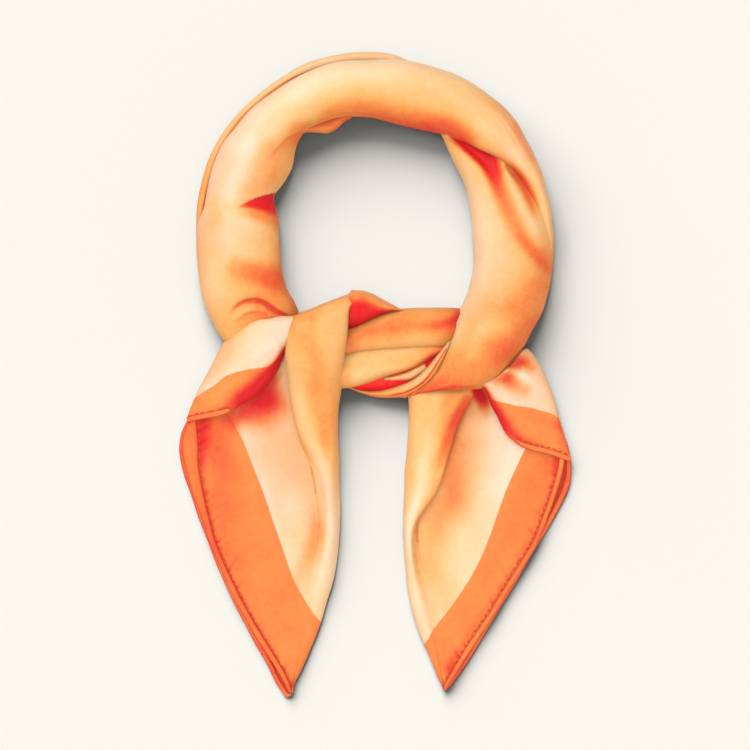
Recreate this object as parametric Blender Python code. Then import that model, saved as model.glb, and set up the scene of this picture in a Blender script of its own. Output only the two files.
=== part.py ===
"""A satin neckerchief, tied in a loop with a half knot and laid flat.

It is a 700 mm square, folded on its diagonal. Sizes are in millimetres until a mesh is made. +Y runs from the
tips up to the nape, +X to the right, and Z = 0 is the surface that the cloth lies on. Each stretch of cloth
that shows is one closed solid. The loop and the knot hide their folded layers in rounded solids with layered
edges, and the two tails are sheets that lie on each other.
"""

import bmesh
import bpy
import numpy as np

MM = 0.001
CLOTH = 1.3  # a sheet's wall
GAP = 0.3  # between two pieces of cloth
HEM = 3.0  # the rolled hem's width
MOST_HEM = 0.6  # the share of a narrow sheet's width that its hem may take, at the tips
PLY = 2.4  # one folded layer at the edge of the loop
PLY_STEP = 1.5  # how far each such layer stands out past the one above
LIP = 3.0  # how high a rounded stretch without a layered edge starts
ROUND = 2.5  # the power of a band's rounded section: 2 is an ellipse, and more is squarer
NECK = (0.0, 85.0)  # the middle of the loop

# The hidden turns inside the knot: an oval dome.
CORE = {"x": 5.0, "y": 13.0, "half_length": 56.0, "half_width": 17.0, "high": 9.0}


def table(names, *rows):
    """Named columns, one value for each row."""
    return dict(zip(names.split(), np.array(rows, float).T))


# ---- The loop's stretches, from the knot round to the knot. bow pushes a section's middle along the band.

LOOP_LEFT = table(
    "outer_x outer_y inner_x inner_y high bow",
    (-90, 21.8, -51, 34, 15, 6),
    (-97.5, 29.8, -48.5, 40, 19, 5),
    (-102.5, 43.5, -50.5, 46, 22, 3),
    (-105.5, 56.5, -55, 57.5, 23, 0),
    (-106.8, 73.5, -57.5, 74.5, 23, 0),
    (-106.6, 88, -57.5, 88, 23, 0),
    (-103.5, 103.2, -58.8, 101.5, 20, 0),
)

LOOP_TOP = table(
    "outer_x outer_y inner_x inner_y high",
    (-103, 103.9, -60, 105.2, 20),
    (-97, 128.5, -49.5, 127, 22),
    (-90.5, 142, -47, 136.5, 22),
    (-79.5, 155.5, -43.5, 146, 23),
    (-63.5, 170, -34.5, 151.5, 24),
    (-42.5, 182, -23.5, 154.5, 24),
    (-18.5, 188.5, -10.5, 155, 24),
    (5.5, 189, 5, 151.5, 24),
    (26.5, 186.5, 22, 147.5, 24),
    (44.5, 181, 37.5, 144, 24),
    (59.5, 173.5, 47.5, 141, 24),
    (74.5, 162.5, 56.5, 137.5, 25),
    (85.5, 150.5, 67, 133, 25),
    (93.5, 135.5, 76.5, 128, 25),
    (98.5, 121.5, 83.5, 122, 25),
    (102.5, 110.5, 89.5, 113, 24),
    (106, 95.5, 98, 98, 20),
    (106.5, 89, 103.5, 89.5, 12),
)

LOOP_RIGHT = table(
    "outer_x outer_y inner_x inner_y high",
    (56.5, 136, 41, 140, 16),
    (67, 131.7, 44, 133.5, 20),
    (76.2, 126.3, 48.5, 125, 22),
    (83, 120.3, 52, 116.5, 23),
    (88.6, 112, 55, 107, 24),
    (94.5, 101.3, 56.5, 97.5, 24),
    (102, 89.3, 57.5, 88, 24),
    (106.5, 80, 58.5, 77.5, 25),
    (106, 66.5, 58, 64, 25),
    (104, 52, 54.5, 49, 25),
    (100, 38, 49, 35.5, 26),
    (92.5, 22.5, 44, 22, 27),
    (85.5, 11.5, 41, 14.5, 28),
    (77.5, 0.5, 35.5, 6.5, 27),
    (65.5, -7.5, 30.5, -1.5, 24),
    (52, -8, 23, -8, 20),
    (36.5, -10, 16, -10.5, 15),
    (22.5, -13, 12.5, -13, 8),
)

# A lower layer's edge, which stands out all along the outer upper left: an angle from +X about the neck, and
# two radii.
OUTER_PLY = table(
    "angle inner outer high",
    (182, 107.6, 108.2, 3),
    (174, 107.0, 108.3, 5),
    (169, 105.5, 108.6, 6),
    (156, 107.0, 109.6, 7),
    (148, 107.6, 109.8, 7),
    (138, 107.0, 109.6, 7),
    (127, 106.9, 109.4, 7),
    (113, 106.6, 109.5, 7),
    (100, 105.9, 109.2, 7),
    (87, 104.8, 108.1, 6),
    (79.5, 105.1, 105.8, 3),
)

# The lower layer's lobe, which hangs out at the inner upper left.
INNER_LOBE = table(
    "outer_x outer_y inner_x inner_y high",
    (-42.5, 145.5, -42, 144, 7),
    (-34.5, 149.5, -36.5, 145.5, 9),
    (-25.5, 153, -28.5, 145, 9),
    (-18, 153.8, -22, 148, 9),
    (-13, 154, -15.5, 152.8, 7),
)

# ---- The knot's stretches. upper is the edge towards the neck.

CROSS_UPPER = table(
    "upper_x upper_y lower_x lower_y high",
    (-15.5, 27.5, -17, 11.5, 20),
    (-8, 31.5, -8, 13, 22),
    (2.5, 36, 2.5, 15, 22),
    (14.5, 38.5, 14.5, 16, 22),
    (29.5, 39.5, 26.5, 15.5, 21),
    (43, 40, 36.5, 15.5, 20),
    (50, 39.5, 40.2, 16.2, 19),
)

CROSS_LOWER = table(
    "upper_x upper_y lower_x lower_y high",
    (-17.5, 10.5, -19, -7, 17),
    (-12.5, 11.7, -11.5, -7, 18),
    (-3.5, 13.3, -2.5, -5, 18),
    (5.5, 14.3, 7, -1.5, 18),
    (16, 15, 16.5, 1.5, 17),
    (26.5, 14.5, 25.5, 5, 16),
    (33, 14.3, 31.5, 9, 15),
    (37, 14.3, 36, 12.5, 13),
)

TUCK = table(
    "upper_x upper_y lower_x lower_y high",
    (38.5, 14, 39.5, 13.5, 17),
    (33.5, 9, 35.5, 7.5, 19),
    (28, 3, 30, 0.5, 19),
    (21.5, -3, 24, -6, 18),
    (13.5, -6.5, 15.5, -10, 16),
    (5, -8.5, 10, -13, 14),
    (-2.5, -9, 0.5, -13.5, 12),
    (-9.5, -9.5, -7, -12, 9),
)

PEAK = table(
    "upper_x upper_y lower_x lower_y high",
    (-11.8, 48.3, -15.6, 29.3, 18),
    (-7.5, 50, -10.5, 31.3, 22),
    (-2.5, 48.5, -4.5, 34.5, 22),
    (3.5, 46, 2, 37.3, 20),
    (9.5, 42.8, 9.5, 39, 16),
    (13.5, 40.3, 13.5, 39.3, 10),
)

WRAP = table(
    "left_x left_y right_x right_y high",
    (-51, 33.5, -12.5, 48, 12),
    (-52, 29.5, -15, 41.5, 21),
    (-53, 23.5, -16.5, 32, 26),
    (-53.5, 16, -17.5, 21.5, 28),
    (-53, 7.5, -18.5, 10.5, 27),
    (-52, -1, -19, 1, 23),
    (-51.5, -8.5, -20.5, -8, 18),
)

# ---- The tails. A roll is the doubled corner's soft fold, and hem, fold and edge are the sides of a sheet.

LEFT_ROLL = table(
    "left_x left_y right_x right_y high",
    (-51.5, -10, -20.5, -9, 17),
    (-49, -23.5, -22, -22.5, 13),
    (-45.5, -38, -22.5, -37.5, 11),
    (-41, -53, -22, -52.5, 10),
    (-36.5, -67, -21.5, -67, 9),
    (-34.5, -80, -21, -80, 8.5),
    (-34, -93.5, -21, -92, 8),
    (-34.5, -106.5, -22, -105.5, 7.5),
    (-35, -120.5, -25, -119.5, 6.5),
    (-35.5, -133.5, -28, -133, 6),
    (-37, -147.5, -32, -146.5, 5),
    (-41, -161, -37.5, -160.5, 4.5),
    (-45, -173.5, -42.5, -173, 4),
)

LEFT_PANEL = table(
    "hem_x hem_y back_hem_x back_hem_y fold_x fold_y puff",
    (-110, -31, -115, -32, -54.6, 7.5, 0),
    (-116, -43.5, -117.5, -43.5, -51.5, -16.5, 0),
    (-113.5, -57.5, -115, -58.5, -47, -35.5, 0.8),
    (-110, -71, -110.5, -71, -42.5, -52.5, 1.5),
    (-104.5, -86, -106, -85, -37, -67, 2),
    (-99.5, -101, -100.5, -100.5, -35, -80, 2),
    (-92.5, -117.5, -95, -115, -35, -93.5, 2),
    (-85.5, -133, -88, -130.5, -35, -107.5, 1.5),
    (-77.5, -147.5, -80.5, -145, -35.5, -121.5, 1.2),
    (-69.5, -161, -73, -160, -36, -134, 1),
    (-62, -172.5, -65.5, -173, -38, -147.5, 0.6),
    (-56.5, -181.5, -60.5, -182.5, -41.5, -161, 0.3),
    (-53, -188.5, -56.5, -189.5, -45.3, -174.3, 0),
    (-51, -191.5, -53.5, -193.5, -48.3, -184.5, 0),
)

LEFT_FLAP = table(
    "hem_x hem_y hem_z edge_x edge_y edge_z",
    (-54.5, 14.5, 16, -53, 31.5, 20),
    (-56, 7, 13, -59, 32, 19),
    (-59.5, -1, 10, -66.5, 32.5, 18),
    (-65.5, -8, 8, -73, 32, 16),
    (-74, -14, 6.5, -80, 28.5, 13),
    (-82.5, -19, 5.7, -86, 22.5, 9),
    (-90.5, -23, 5.3, -92, 15.5, 6.5),
    (-98, -26, 5, -98, 6, 5.4),
    (-105.5, -27, 5, -104.5, -7, 5),
    (-111.5, -28.5, 5, -111, -20.5, 5),
    (-115.5, -32, 5, -115, -29.5, 5),
)

RIGHT_ROLL = table(
    "left_x left_y right_x right_y high",
    (21.5, -14, 61.5, -9.3, 16),
    (20, -22.5, 54.5, -20.5, 14),
    (19, -34.5, 48.5, -33.5, 12),
    (18.5, -48.5, 44, -47, 11),
    (17.5, -62, 39.5, -61.5, 10),
    (17, -75.5, 32.5, -74.5, 9),
    (16.5, -87.5, 26.5, -86, 8),
    (16.5, -99.5, 25, -97.5, 7.5),
    (17.5, -112.5, 26, -111.5, 7),
    (19.5, -128, 27.5, -127, 6),
    (23, -143.5, 29.5, -142, 5.5),
    (27.5, -158, 32.5, -156.5, 5),
    (32.5, -172, 36.3, -170, 4),
    (38, -184.5, 39.6, -182, 3.5),
)

RIGHT_PANEL = table(
    "hem_x hem_y back_hem_x back_hem_y fold_x fold_y puff",
    (68, -13.5, 68, -13.5, 62, -12.5, 0),
    (89, -17.5, 90.5, -17.5, 55, -21.5, 0),
    (108.5, -33.5, 110.5, -33.5, 49.5, -34, 0),
    (114.5, -49.5, 116.5, -51.5, 45, -47, 0.5),
    (110.5, -63.5, 116, -65.5, 40, -61.5, 1.2),
    (105.5, -80, 109.5, -80.5, 33.5, -74.5, 1.8),
    (100, -94.5, 101.5, -94.5, 27.5, -86, 2),
    (92.5, -109, 93.5, -109, 26, -97.5, 2),
    (83.5, -123.5, 84.5, -123.5, 26.5, -111.5, 1.8),
    (73.5, -140, 74.5, -140, 28, -127, 1.4),
    (64, -153.5, 65.5, -154.5, 30.5, -142, 1),
    (55, -168.5, 57, -169.5, 33.5, -156.5, 0.6),
    (47.5, -180.5, 50, -179.5, 37, -170, 0.3),
    (43, -187, 43.5, -187.5, 40.2, -182.5, 0),
)

RIGHT_FLAP = table(
    "hem_x hem_y hem_z edge_x edge_y edge_z",
    (67, -10, 12, 68.5, -8.5, 14),
    (68.5, -14, 10, 74.5, -5.5, 13),
    (70.5, -18, 8, 81, 0.5, 12),
    (72.5, -23.5, 7, 86.5, 9, 11),
    (75, -30, 6.2, 91.5, 13.5, 9),
    (77.5, -35.5, 5.7, 96.5, 8.5, 7),
    (82, -40.5, 5.3, 101.5, -1, 6),
    (89.5, -44.5, 5.2, 106.5, -13.5, 5.2),
    (100.5, -47, 5, 111, -27.5, 5),
    (109.5, -49, 5, 114.5, -41, 5),
    (115, -51.5, 5, 116, -49.5, 5),
)

FLAP_HEM_FROM = 0.6  # a flap's edge is a fold up to this share of its length, and a hem after it
PANEL_STATIONS = 16
FLAP_STATIONS = 13

APRICOT = (0.95, 0.42, 0.13)
GOLD = (0.97, 0.55, 0.18)
PEACH = (0.98, 0.70, 0.42)
ORANGE = (0.95, 0.26, 0.07)
SATIN_ROUGHNESS = 0.42


# ---- Shapes


def smooth(columns, count):
    """Catmull-Rom curves through the rows of a table, read at count even steps."""
    rows = np.stack(list(columns.values()), axis=1)
    rows = np.concatenate([2 * rows[:1] - rows[1:2], rows, 2 * rows[-1:] - rows[-2:-1]])
    at = np.linspace(0, len(rows) - 3, count)
    first = np.minimum(at.astype(int), len(rows) - 4)
    t = (at - first)[:, None]
    a, b, c, d = (rows[first + k] for k in range(4))
    curve = b + t * (c - a + t * (2 * a - 5 * b + 4 * c - d + t * (3 * (b - c) + d - a))) / 2
    return dict(zip(columns, curve.T))


def side(columns, name):
    """One edge of a stretch, as points in plan."""
    return np.stack([columns[name + "_x"], columns[name + "_y"]], axis=1)


def across(first, second, share):
    """Points in plan from one edge to the other, at a share for each station and column."""
    return first[:, None] + share[..., None] * (second - first)[:, None]


def cosine_steps(count):
    """Shares from 0 to 1, closer together at both ends, where a rounded section is steep."""
    return (1 - np.cos(np.linspace(0, np.pi, count))) / 2


def crown(share):
    """A rounded section: 0 at both edges and 1 in the middle."""
    return (1 - np.abs(2 * share - 1) ** ROUND) ** (1 / ROUND)


def core_height(x, y, spread=1.0):
    """The dome of hidden turns, wider by spread: 0 outside it."""
    along = (x - CORE["x"]) / CORE["half_length"]
    aside = (y - CORE["y"]) / CORE["half_width"]
    return CORE["high"] * np.maximum(0, 1 - (along**2 + aside**2) / spread**2)


def above_core(plan):
    """How high the underside of a stretch is: on the surface, or just clear of the hidden turns."""
    lift = core_height(plan[..., 0], plan[..., 1], 1.25)
    return np.where(lift > 0, lift + GAP, 0)


def finished(name, shell, colour):
    """The object of a closed bmesh, with its normals turned out, soft edges and a satin of its own colour."""
    bmesh.ops.recalc_face_normals(shell, faces=shell.faces)
    mesh = bpy.data.meshes.new(name)
    shell.to_mesh(mesh)
    shell.free()
    mesh.shade_smooth()
    mesh.set_sharp_from_angle(angle=np.radians(50))
    obj = bpy.data.objects.new(name, mesh)
    bpy.context.collection.objects.link(obj)
    obj.parent = scarf
    material = bpy.data.materials.new(name)
    material.use_nodes = True
    surface = material.node_tree.nodes["Principled BSDF"]
    surface.inputs["Base Color"].default_value = (*colour, 1)
    surface.inputs["Roughness"].default_value = SATIN_ROUGHNESS
    mesh.materials.append(material)


def solid(name, plan, top, bottom, colour):
    """A closed solid between an upper and a lower grid of heights over the same points in plan."""
    stations, columns = plan.shape[:2]
    points = np.concatenate([np.dstack([plan, height]).reshape(-1, 3) for height in (top, bottom)])
    upper = np.arange(stations * columns).reshape(stations, columns)
    lower = upper + upper.size

    def quads(grid):
        corners = [grid[:-1, :-1], grid[1:, :-1], grid[1:, 1:], grid[:-1, 1:]]
        return np.stack(corners, axis=-1).reshape(-1, 4)

    rim = np.concatenate([upper[:-1, 0], upper[-1, :-1], upper[:0:-1, -1], upper[0, :0:-1]])
    after = np.roll(rim, -1)
    walls = np.stack([rim, rim + upper.size, after + upper.size, after], axis=1)
    faces = np.concatenate([quads(upper), quads(lower)[:, ::-1], walls])
    shell = bmesh.new()
    corners = [shell.verts.new(point) for point in points * MM]
    for face in faces:
        shell.faces.new([corners[k] for k in face])
    finished(name, shell, colour)


def band(name, columns, edges, stations, colour, body=8, layered=False, over_core=False):
    """A rounded stretch of folded cloth with a flat underside. A layered one steps in a ply at both edges."""
    rows = smooth(columns, stations)
    first, second = (side(rows, edge) for edge in edges)
    wide = np.linalg.norm(second - first, axis=1)[:, None]
    inner = cosine_steps(body)[None] * np.ones_like(wide)
    if layered:
        step = (PLY_STEP + GAP) / wide
        body_share = step + inner * (1 - 2 * step)
        share = np.hstack([0 * wide, PLY_STEP / wide, body_share, 1 - PLY_STEP / wide, 1 + 0 * wide])
        low = np.full_like(wide, PLY)
        rounded = 2 * PLY + (rows["high"][:, None] - 2 * PLY) * crown(inner)
        top = np.hstack([low, low, rounded, low, low])
    else:
        share = inner
        top = LIP + (rows["high"][:, None] - LIP) * crown(inner)
    plan = across(first, second, share)
    if "bow" in rows:
        ahead = np.stack([first[:, 1] - second[:, 1], second[:, 0] - first[:, 0]], axis=1) / wide
        plan += (4 * share * (1 - share) * rows["bow"][:, None])[..., None] * ahead[:, None]
    bottom = above_core(plan) if over_core else 0 * top
    solid(name, plan, np.maximum(top, bottom + CLOTH), bottom, colour)


def sheet(name, first, second, top_of, stations, colour, columns=6, hem_from=0.0):
    """A laid sheet and, in a solid of its own, the rolled hem on its first edge.

    The hem starts at the share hem_from of the edge's length, and the edge is a fold up to there. top_of gives
    the heights of the sheet's upper side from the shares across it.
    """
    wide = np.linalg.norm(second - first, axis=1)[:, None]
    hemmed = np.linspace(0, 1, stations)[:, None] >= hem_from
    hem = np.minimum(HEM / wide, MOST_HEM)
    start = np.where(hemmed, hem + GAP / wide, 0)
    share = start + np.linspace(0, 1, columns)[None] * (1 - start)
    top = top_of(share)
    solid(name, across(first, second, share), top, top - CLOTH, colour)
    share = np.linspace(0, 1, 3)[None] * hem
    keep = hemmed[:, 0]
    top = top_of(share)
    plan = across(first, second, share)[keep]
    solid(name + "_hem", plan, top[keep], top[keep] - CLOTH, ORANGE)


# ---- The neckerchief

for old in list(bpy.data.objects):
    bpy.data.objects.remove(old, do_unlink=True)
scarf = bpy.data.objects.new("neckerchief", None)
bpy.context.collection.objects.link(scarf)

band("loop_left", LOOP_LEFT, ("outer", "inner"), 11, APRICOT, layered=True)
band("loop_top", LOOP_TOP, ("outer", "inner"), 22, GOLD, layered=True)
band("loop_right", LOOP_RIGHT, ("outer", "inner"), 22, APRICOT, layered=True, over_core=True)
band("inner_lobe", INNER_LOBE, ("outer", "inner"), 6, ORANGE, body=5)


def outer_ply():
    """The lower layer that stands out past the loop's upper left: a curved strip about the neck."""
    rows = smooth(OUTER_PLY, 24)
    angle, inner, outer, high = (rows[name][:, None] for name in OUTER_PLY)
    radius = inner + (outer - inner) * np.linspace(0, 1, 4)[None]
    turn = np.radians(angle)
    plan = np.dstack([NECK[0] + radius * np.cos(turn), NECK[1] + radius * np.sin(turn)])
    top = high * np.array([[1, 1, 0.85, 0.4]])
    solid("outer_ply", plan, top, 0 * top, GOLD)


outer_ply()


def core():
    """The hidden turns of the band inside the knot: an oval dome with a flat underside."""
    angle = np.linspace(0, 2 * np.pi, 24, endpoint=False)
    shell = bmesh.new()
    rings = []
    for share in (0.97, 0.75, 0.45):
        x = CORE["x"] + share * CORE["half_length"] * np.cos(angle)
        y = CORE["y"] + share * CORE["half_width"] * np.sin(angle)
        ring = np.stack([x, y, core_height(x, y)], axis=1) * MM
        rings.append([shell.verts.new(point) for point in ring])
    base = [shell.verts.new((vertex.co.x, vertex.co.y, 0)) for vertex in rings[0]]
    peak = shell.verts.new((CORE["x"] * MM, CORE["y"] * MM, CORE["high"] * MM))
    for lower, upper in zip([base] + rings, rings):
        for k in range(len(angle)):
            shell.faces.new((lower[k - 1], lower[k], upper[k], upper[k - 1]))
    for k in range(len(angle)):
        shell.faces.new((rings[-1][k - 1], rings[-1][k], peak))
    shell.faces.new(base[::-1])
    finished("knot_core", shell, APRICOT)


core()
band("knot_cross_upper", CROSS_UPPER, ("upper", "lower"), 9, ORANGE, over_core=True)
band("knot_cross_lower", CROSS_LOWER, ("upper", "lower"), 9, GOLD, body=7, over_core=True)
band("knot_tuck", TUCK, ("upper", "lower"), 10, APRICOT, body=5, over_core=True)
band("knot_peak", PEAK, ("upper", "lower"), 8, ORANGE, body=6, over_core=True)
band("knot_wrap", WRAP, ("left", "right"), 12, GOLD, over_core=True)
band("tail_left_roll", LEFT_ROLL, ("left", "right"), 16, GOLD, body=7)
band("tail_right_roll", RIGHT_ROLL, ("left", "right"), 16, GOLD, body=7)


def tail(name, panel, flap):
    """A doubled corner: a back layer on the surface, a front layer on that, and the flap over both."""
    rows = smooth(panel, PANEL_STATIONS)
    hem, back_hem, fold = (side(rows, edge) for edge in ("hem", "back_hem", "fold"))
    front = 2 * CLOTH + GAP
    swell = rows["puff"][:, None]

    def back_top(share):
        return 0 * share + CLOTH

    def front_top(share):
        return front + swell * np.sin(np.pi * share)

    sheet(name + "_back", back_hem, fold, back_top, PANEL_STATIONS, APRICOT, columns=4)
    sheet(name + "_front", hem, fold, front_top, PANEL_STATIONS, PEACH)
    rows = smooth(flap, FLAP_STATIONS)
    hem, edge = (side(rows, line) for line in ("hem", "edge"))
    low, high = (rows[height][:, None] for height in ("hem_z", "edge_z"))

    def flap_top(share):
        return low + (high - low) * share

    sheet(name + "_flap", hem, edge, flap_top, FLAP_STATIONS, PEACH, hem_from=FLAP_HEM_FROM)


tail("tail_left", LEFT_PANEL, LEFT_FLAP)
tail("tail_right", RIGHT_PANEL, RIGHT_FLAP)
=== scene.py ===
import math

import bpy
import numpy as np
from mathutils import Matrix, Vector


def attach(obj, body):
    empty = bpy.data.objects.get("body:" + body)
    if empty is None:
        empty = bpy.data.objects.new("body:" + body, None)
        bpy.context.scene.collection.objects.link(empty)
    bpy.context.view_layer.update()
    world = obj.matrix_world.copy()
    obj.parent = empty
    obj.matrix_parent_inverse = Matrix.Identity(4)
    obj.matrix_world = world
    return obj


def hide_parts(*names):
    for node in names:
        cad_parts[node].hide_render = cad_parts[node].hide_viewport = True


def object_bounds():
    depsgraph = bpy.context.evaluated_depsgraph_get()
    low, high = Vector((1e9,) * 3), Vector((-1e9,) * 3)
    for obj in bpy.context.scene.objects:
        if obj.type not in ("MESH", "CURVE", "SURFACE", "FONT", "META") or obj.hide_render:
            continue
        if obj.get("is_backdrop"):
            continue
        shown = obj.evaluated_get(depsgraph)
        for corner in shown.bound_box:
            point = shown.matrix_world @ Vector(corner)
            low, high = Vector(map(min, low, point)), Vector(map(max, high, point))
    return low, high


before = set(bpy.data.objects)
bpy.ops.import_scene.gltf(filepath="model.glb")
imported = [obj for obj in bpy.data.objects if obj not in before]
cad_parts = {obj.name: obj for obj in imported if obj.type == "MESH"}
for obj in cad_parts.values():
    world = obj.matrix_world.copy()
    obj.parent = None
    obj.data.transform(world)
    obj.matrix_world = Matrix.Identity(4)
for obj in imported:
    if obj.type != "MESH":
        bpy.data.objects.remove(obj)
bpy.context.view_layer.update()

# ---- The tabletop, the camera and the light.
# The neckerchief lies flat on a plain cream tabletop, under a long lens that looks straight down. A window in
# two parts, beyond its upper left, casts its shadows on the table. The cloth has a window of its own, and some
# light from a reflector, the page and the ceiling, so that the far sides of its folds stay warm.

MM = 0.001
MIDDLE = (-0.3, -0.3)  # the middle of the view, mm
LENS = {"distance": 3000.0, "across": 450.0, "sensor": 36.0}  # mm, and across is the width in view
TABLE = {"size": 60.0, "colour": "#F9F6EF", "grain": 900.0}  # size in m, grain in steps for each m
# Degrees: where each light comes from, anticlockwise from +X, and how high it stands. full is the share of
# the light on a level place that it gives, spread how wide it is, and on what it lights.
LIGHTS = {
    "window_on_the_table": {"from": 102.0, "high": 31.0, "full": 0.62, "spread": 38.0, "on": "table"},
    "its_left_part": {"from": 141.0, "high": 27.0, "full": 0.22, "spread": 44.0, "on": "table"},
    "window_on_the_cloth": {"from": 120.0, "high": 43.0, "full": 0.33, "spread": 55.0, "on": "cloth"},
    "reflector": {"from": -45.0, "high": 30.0, "full": 0.17, "spread": 90.0, "on": "cloth"},
    "page": {"from": 215.0, "high": 28.0, "full": 0.10, "spread": 90.0, "on": "cloth"},
    "ceiling": {"from": 0.0, "high": 90.0, "full": 0.28, "spread": 150.0, "on": "cloth"},
}
ROOM = {"colour": "#F4F3EF", "light": 0.20, "seen": 0.9}

scene = bpy.context.scene
scene.view_settings.view_transform = "Standard"
scene.cycles.diffuse_bounces = 0  # the shadows stay as grey as the room


def linear(colour):
    """A #RRGGBB colour as the shader's linear red, green, blue and alpha."""
    shares = [int(colour[i : i + 2], 16) / 255 for i in (1, 3, 5)]
    return [s / 12.92 if s < 0.04045 else ((s + 0.055) / 1.055) ** 2.4 for s in shares] + [1.0]


def shown(name, data):
    """A new object with this data, put into the scene."""
    thing = bpy.data.objects.new(name, data)
    scene.collection.objects.link(thing)
    return thing


camera = shown("camera", bpy.data.cameras.new("camera"))
camera.data.sensor_width = LENS["sensor"]
camera.data.lens = LENS["sensor"] * LENS["distance"] / LENS["across"]
camera.data.clip_end = 100.0  # m
camera.location = (MIDDLE[0] * MM, MIDDLE[1] * MM, LENS["distance"] * MM)
scene.camera = camera

lit = {name: bpy.data.collections.new(f"lit_{name}") for name in ("table", "cloth", "nothing")}
for name, light in LIGHTS.items():
    lamp = shown(name, bpy.data.lights.new(name, "SUN"))
    turn, high = math.radians(light["from"]), math.radians(light["high"])
    towards = Vector((math.cos(turn) * math.cos(high), math.sin(turn) * math.cos(high), math.sin(high)))
    lamp.data.energy = light["full"] * math.pi / math.sin(high)
    lamp.data.angle = math.radians(light["spread"])
    lamp.rotation_euler = (-towards).to_track_quat("-Z", "Y").to_euler()
    lamp.location = towards
    lamp.light_linking.receiver_collection = lit[light["on"]]


class Signal:
    """What a node gives out. Signals add, subtract and multiply as numbers do."""

    def __init__(self, tree, socket):
        self.tree, self.socket = tree, socket

    def math(self, operation, *others, clamp=False):
        """One Math node that works on this signal and the others."""
        return self.tree.node("Math", enumerate((self, *others)), operation=operation, use_clamp=clamp)

    def __add__(self, other):
        return self.math("ADD", other)

    def __sub__(self, other):
        return self.math("SUBTRACT", other)

    def __rsub__(self, other):
        return self.tree.node("Math", enumerate((other, self)), operation="SUBTRACT")

    def __mul__(self, other):
        return self.math("MULTIPLY", other)

    __radd__, __rmul__ = __add__, __mul__

    def held(self):
        """Kept between 0 and 1."""
        return self.math("ADD", 0.0, clamp=True)


class Nodes:
    """The nodes of one material or of the world."""

    def __init__(self, owner):
        owner.use_nodes = True
        self.tree = owner.node_tree

    def node(self, kind, inputs=(), output=0, **settings):
        """A node of this kind, with its settings, and with its inputs set or fed."""
        made = self.tree.nodes.new("ShaderNode" + kind)
        for setting, value in settings.items():
            setattr(made, setting, value)
        for place, value in dict(inputs).items():
            self.feed(made.inputs[place], value)
        return Signal(self, made.outputs[output])

    def feed(self, socket, value):
        """Links a signal to a socket, or sets the socket's own value."""
        if isinstance(value, Signal):
            self.tree.links.new(value.socket, socket)
        else:
            socket.default_value = value

    def stops(self, along, *stops):
        """A colour that runs through (place, #RRGGBB) stops."""
        made = self.node("ValToRGB", {"Fac": along})
        ramp = made.socket.node.color_ramp
        while len(ramp.elements) < len(stops):
            ramp.elements.new(1.0)
        for element, (place, colour) in zip(ramp.elements, stops):
            element.position, element.color = place, linear(colour)
        return made

    def mixed(self, share, first, second):
        """The first colour where the share is 0 and the second where it is 1."""
        return self.node("Mix", {0: share, 6: first, 7: second}, output=2, data_type="RGBA")

    def finish(self, inputs):
        """Sets or feeds the sockets of the material's own shader."""
        shader = self.tree.nodes["Principled BSDF"]
        for place, value in inputs.items():
            self.feed(shader.inputs[place], value)


# The room is dim where it lights the cloth and pale where it is seen.
scene.world = bpy.data.worlds.new("room")
room = Nodes(scene.world)
seen = room.node("LightPath", output="Is Camera Ray")
backdrop = room.tree.nodes["Background"]
room.feed(backdrop.inputs["Color"], linear(ROOM["colour"]))
room.feed(backdrop.inputs["Strength"], seen * (ROOM["seen"] - ROOM["light"]) + ROOM["light"])

half = TABLE["size"] / 2
top = bpy.data.meshes.new("tabletop")
top.from_pydata([(-half, -half, 0), (half, -half, 0), (half, half, 0), (-half, half, 0)], [], [(0, 1, 2, 3)])
tabletop = shown("tabletop", top)
top.materials.append(bpy.data.materials.new("cream_card"))
card = Nodes(top.materials[0])
place = card.node("TexCoord", output="Object")
grain = card.node("TexNoise", {"Vector": place, "Scale": TABLE["grain"], "Detail": 2.0})
card.finish({
    "Base Color": linear(TABLE["colour"]), "Roughness": 0.95, "Specular IOR Level": 0.1,
    "Normal": card.node("Bump", {"Height": grain, "Strength": 0.05, "Distance": 0.0001}),
})
tabletop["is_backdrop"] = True
for name, group in lit.items():
    group.objects.link(tabletop)
    state = "INCLUDE" if name == "table" else "EXCLUDE"
    group.collection_objects[0].light_linking.link_state = state

# ---- The loop's upper stretch, which runs from the knot's left end over the nape to the upper right.
# It is the satin square folded on its diagonal and then over and over into a band, so it is a flattened tube
# of folded layers. The satin fades from cream and peach through gold to orange. Its folds, and its steep and
# far sides, are painted redder as painted shade.

WALL = 0.5  # the thickness that a stretch of cloth shows, mm
SATIN = {"Roughness": 0.42, "Specular IOR Level": 0.22, "Sheen Weight": 0.04, "Sheen Roughness": 0.4}
# painted shade: how much redder the satin is painted on steep sides and on those turned from the window
SLOPE_SHADE = {"steep": 0.10, "far": 0.04, "window": 120.0}  # how much redder satin is on its steep and far sides


def table(names, *rows):
    """Named columns, one value for each row."""
    return dict(zip(names.split(), np.array(rows, float).T))


def tenths(names, *rows):
    """Named columns, of which all but the row are given in tenths."""
    return {name: column if name == "row" else column / 10 for name, column in table(names, *rows).items()}


def through(places, values, at):
    """Values at rising places, joined by a cubic curve whose slope at each place is that of its neighbours'
    line. values is (k,) or (n, k), and at (m,) or (n, m)."""
    slopes = np.gradient(values, places, axis=-1)
    before = np.clip(np.searchsorted(places, at, side="right") - 1, 0, len(places) - 2)
    step = places[before + 1] - places[before]
    t = np.clip((at - places[before]) / step, 0, 1)

    def pick(array, index):
        """The values in these places of each row."""
        return array[index] if array.ndim == 1 else np.take_along_axis(array, index, -1)

    return (
        pick(values, before) * (2 * t**3 - 3 * t**2 + 1)
        + pick(values, before + 1) * (3 * t**2 - 2 * t**3)
        + pick(slopes, before) * step * (t**3 - 2 * t**2 + t)
        + pick(slopes, before + 1) * step * (t**3 - t**2)
    )


def eased(share):
    """0 below 0, 1 above 1, and a smooth S between."""
    share = np.clip(share, 0, 1)
    return share * share * (3 - 2 * share)


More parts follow.
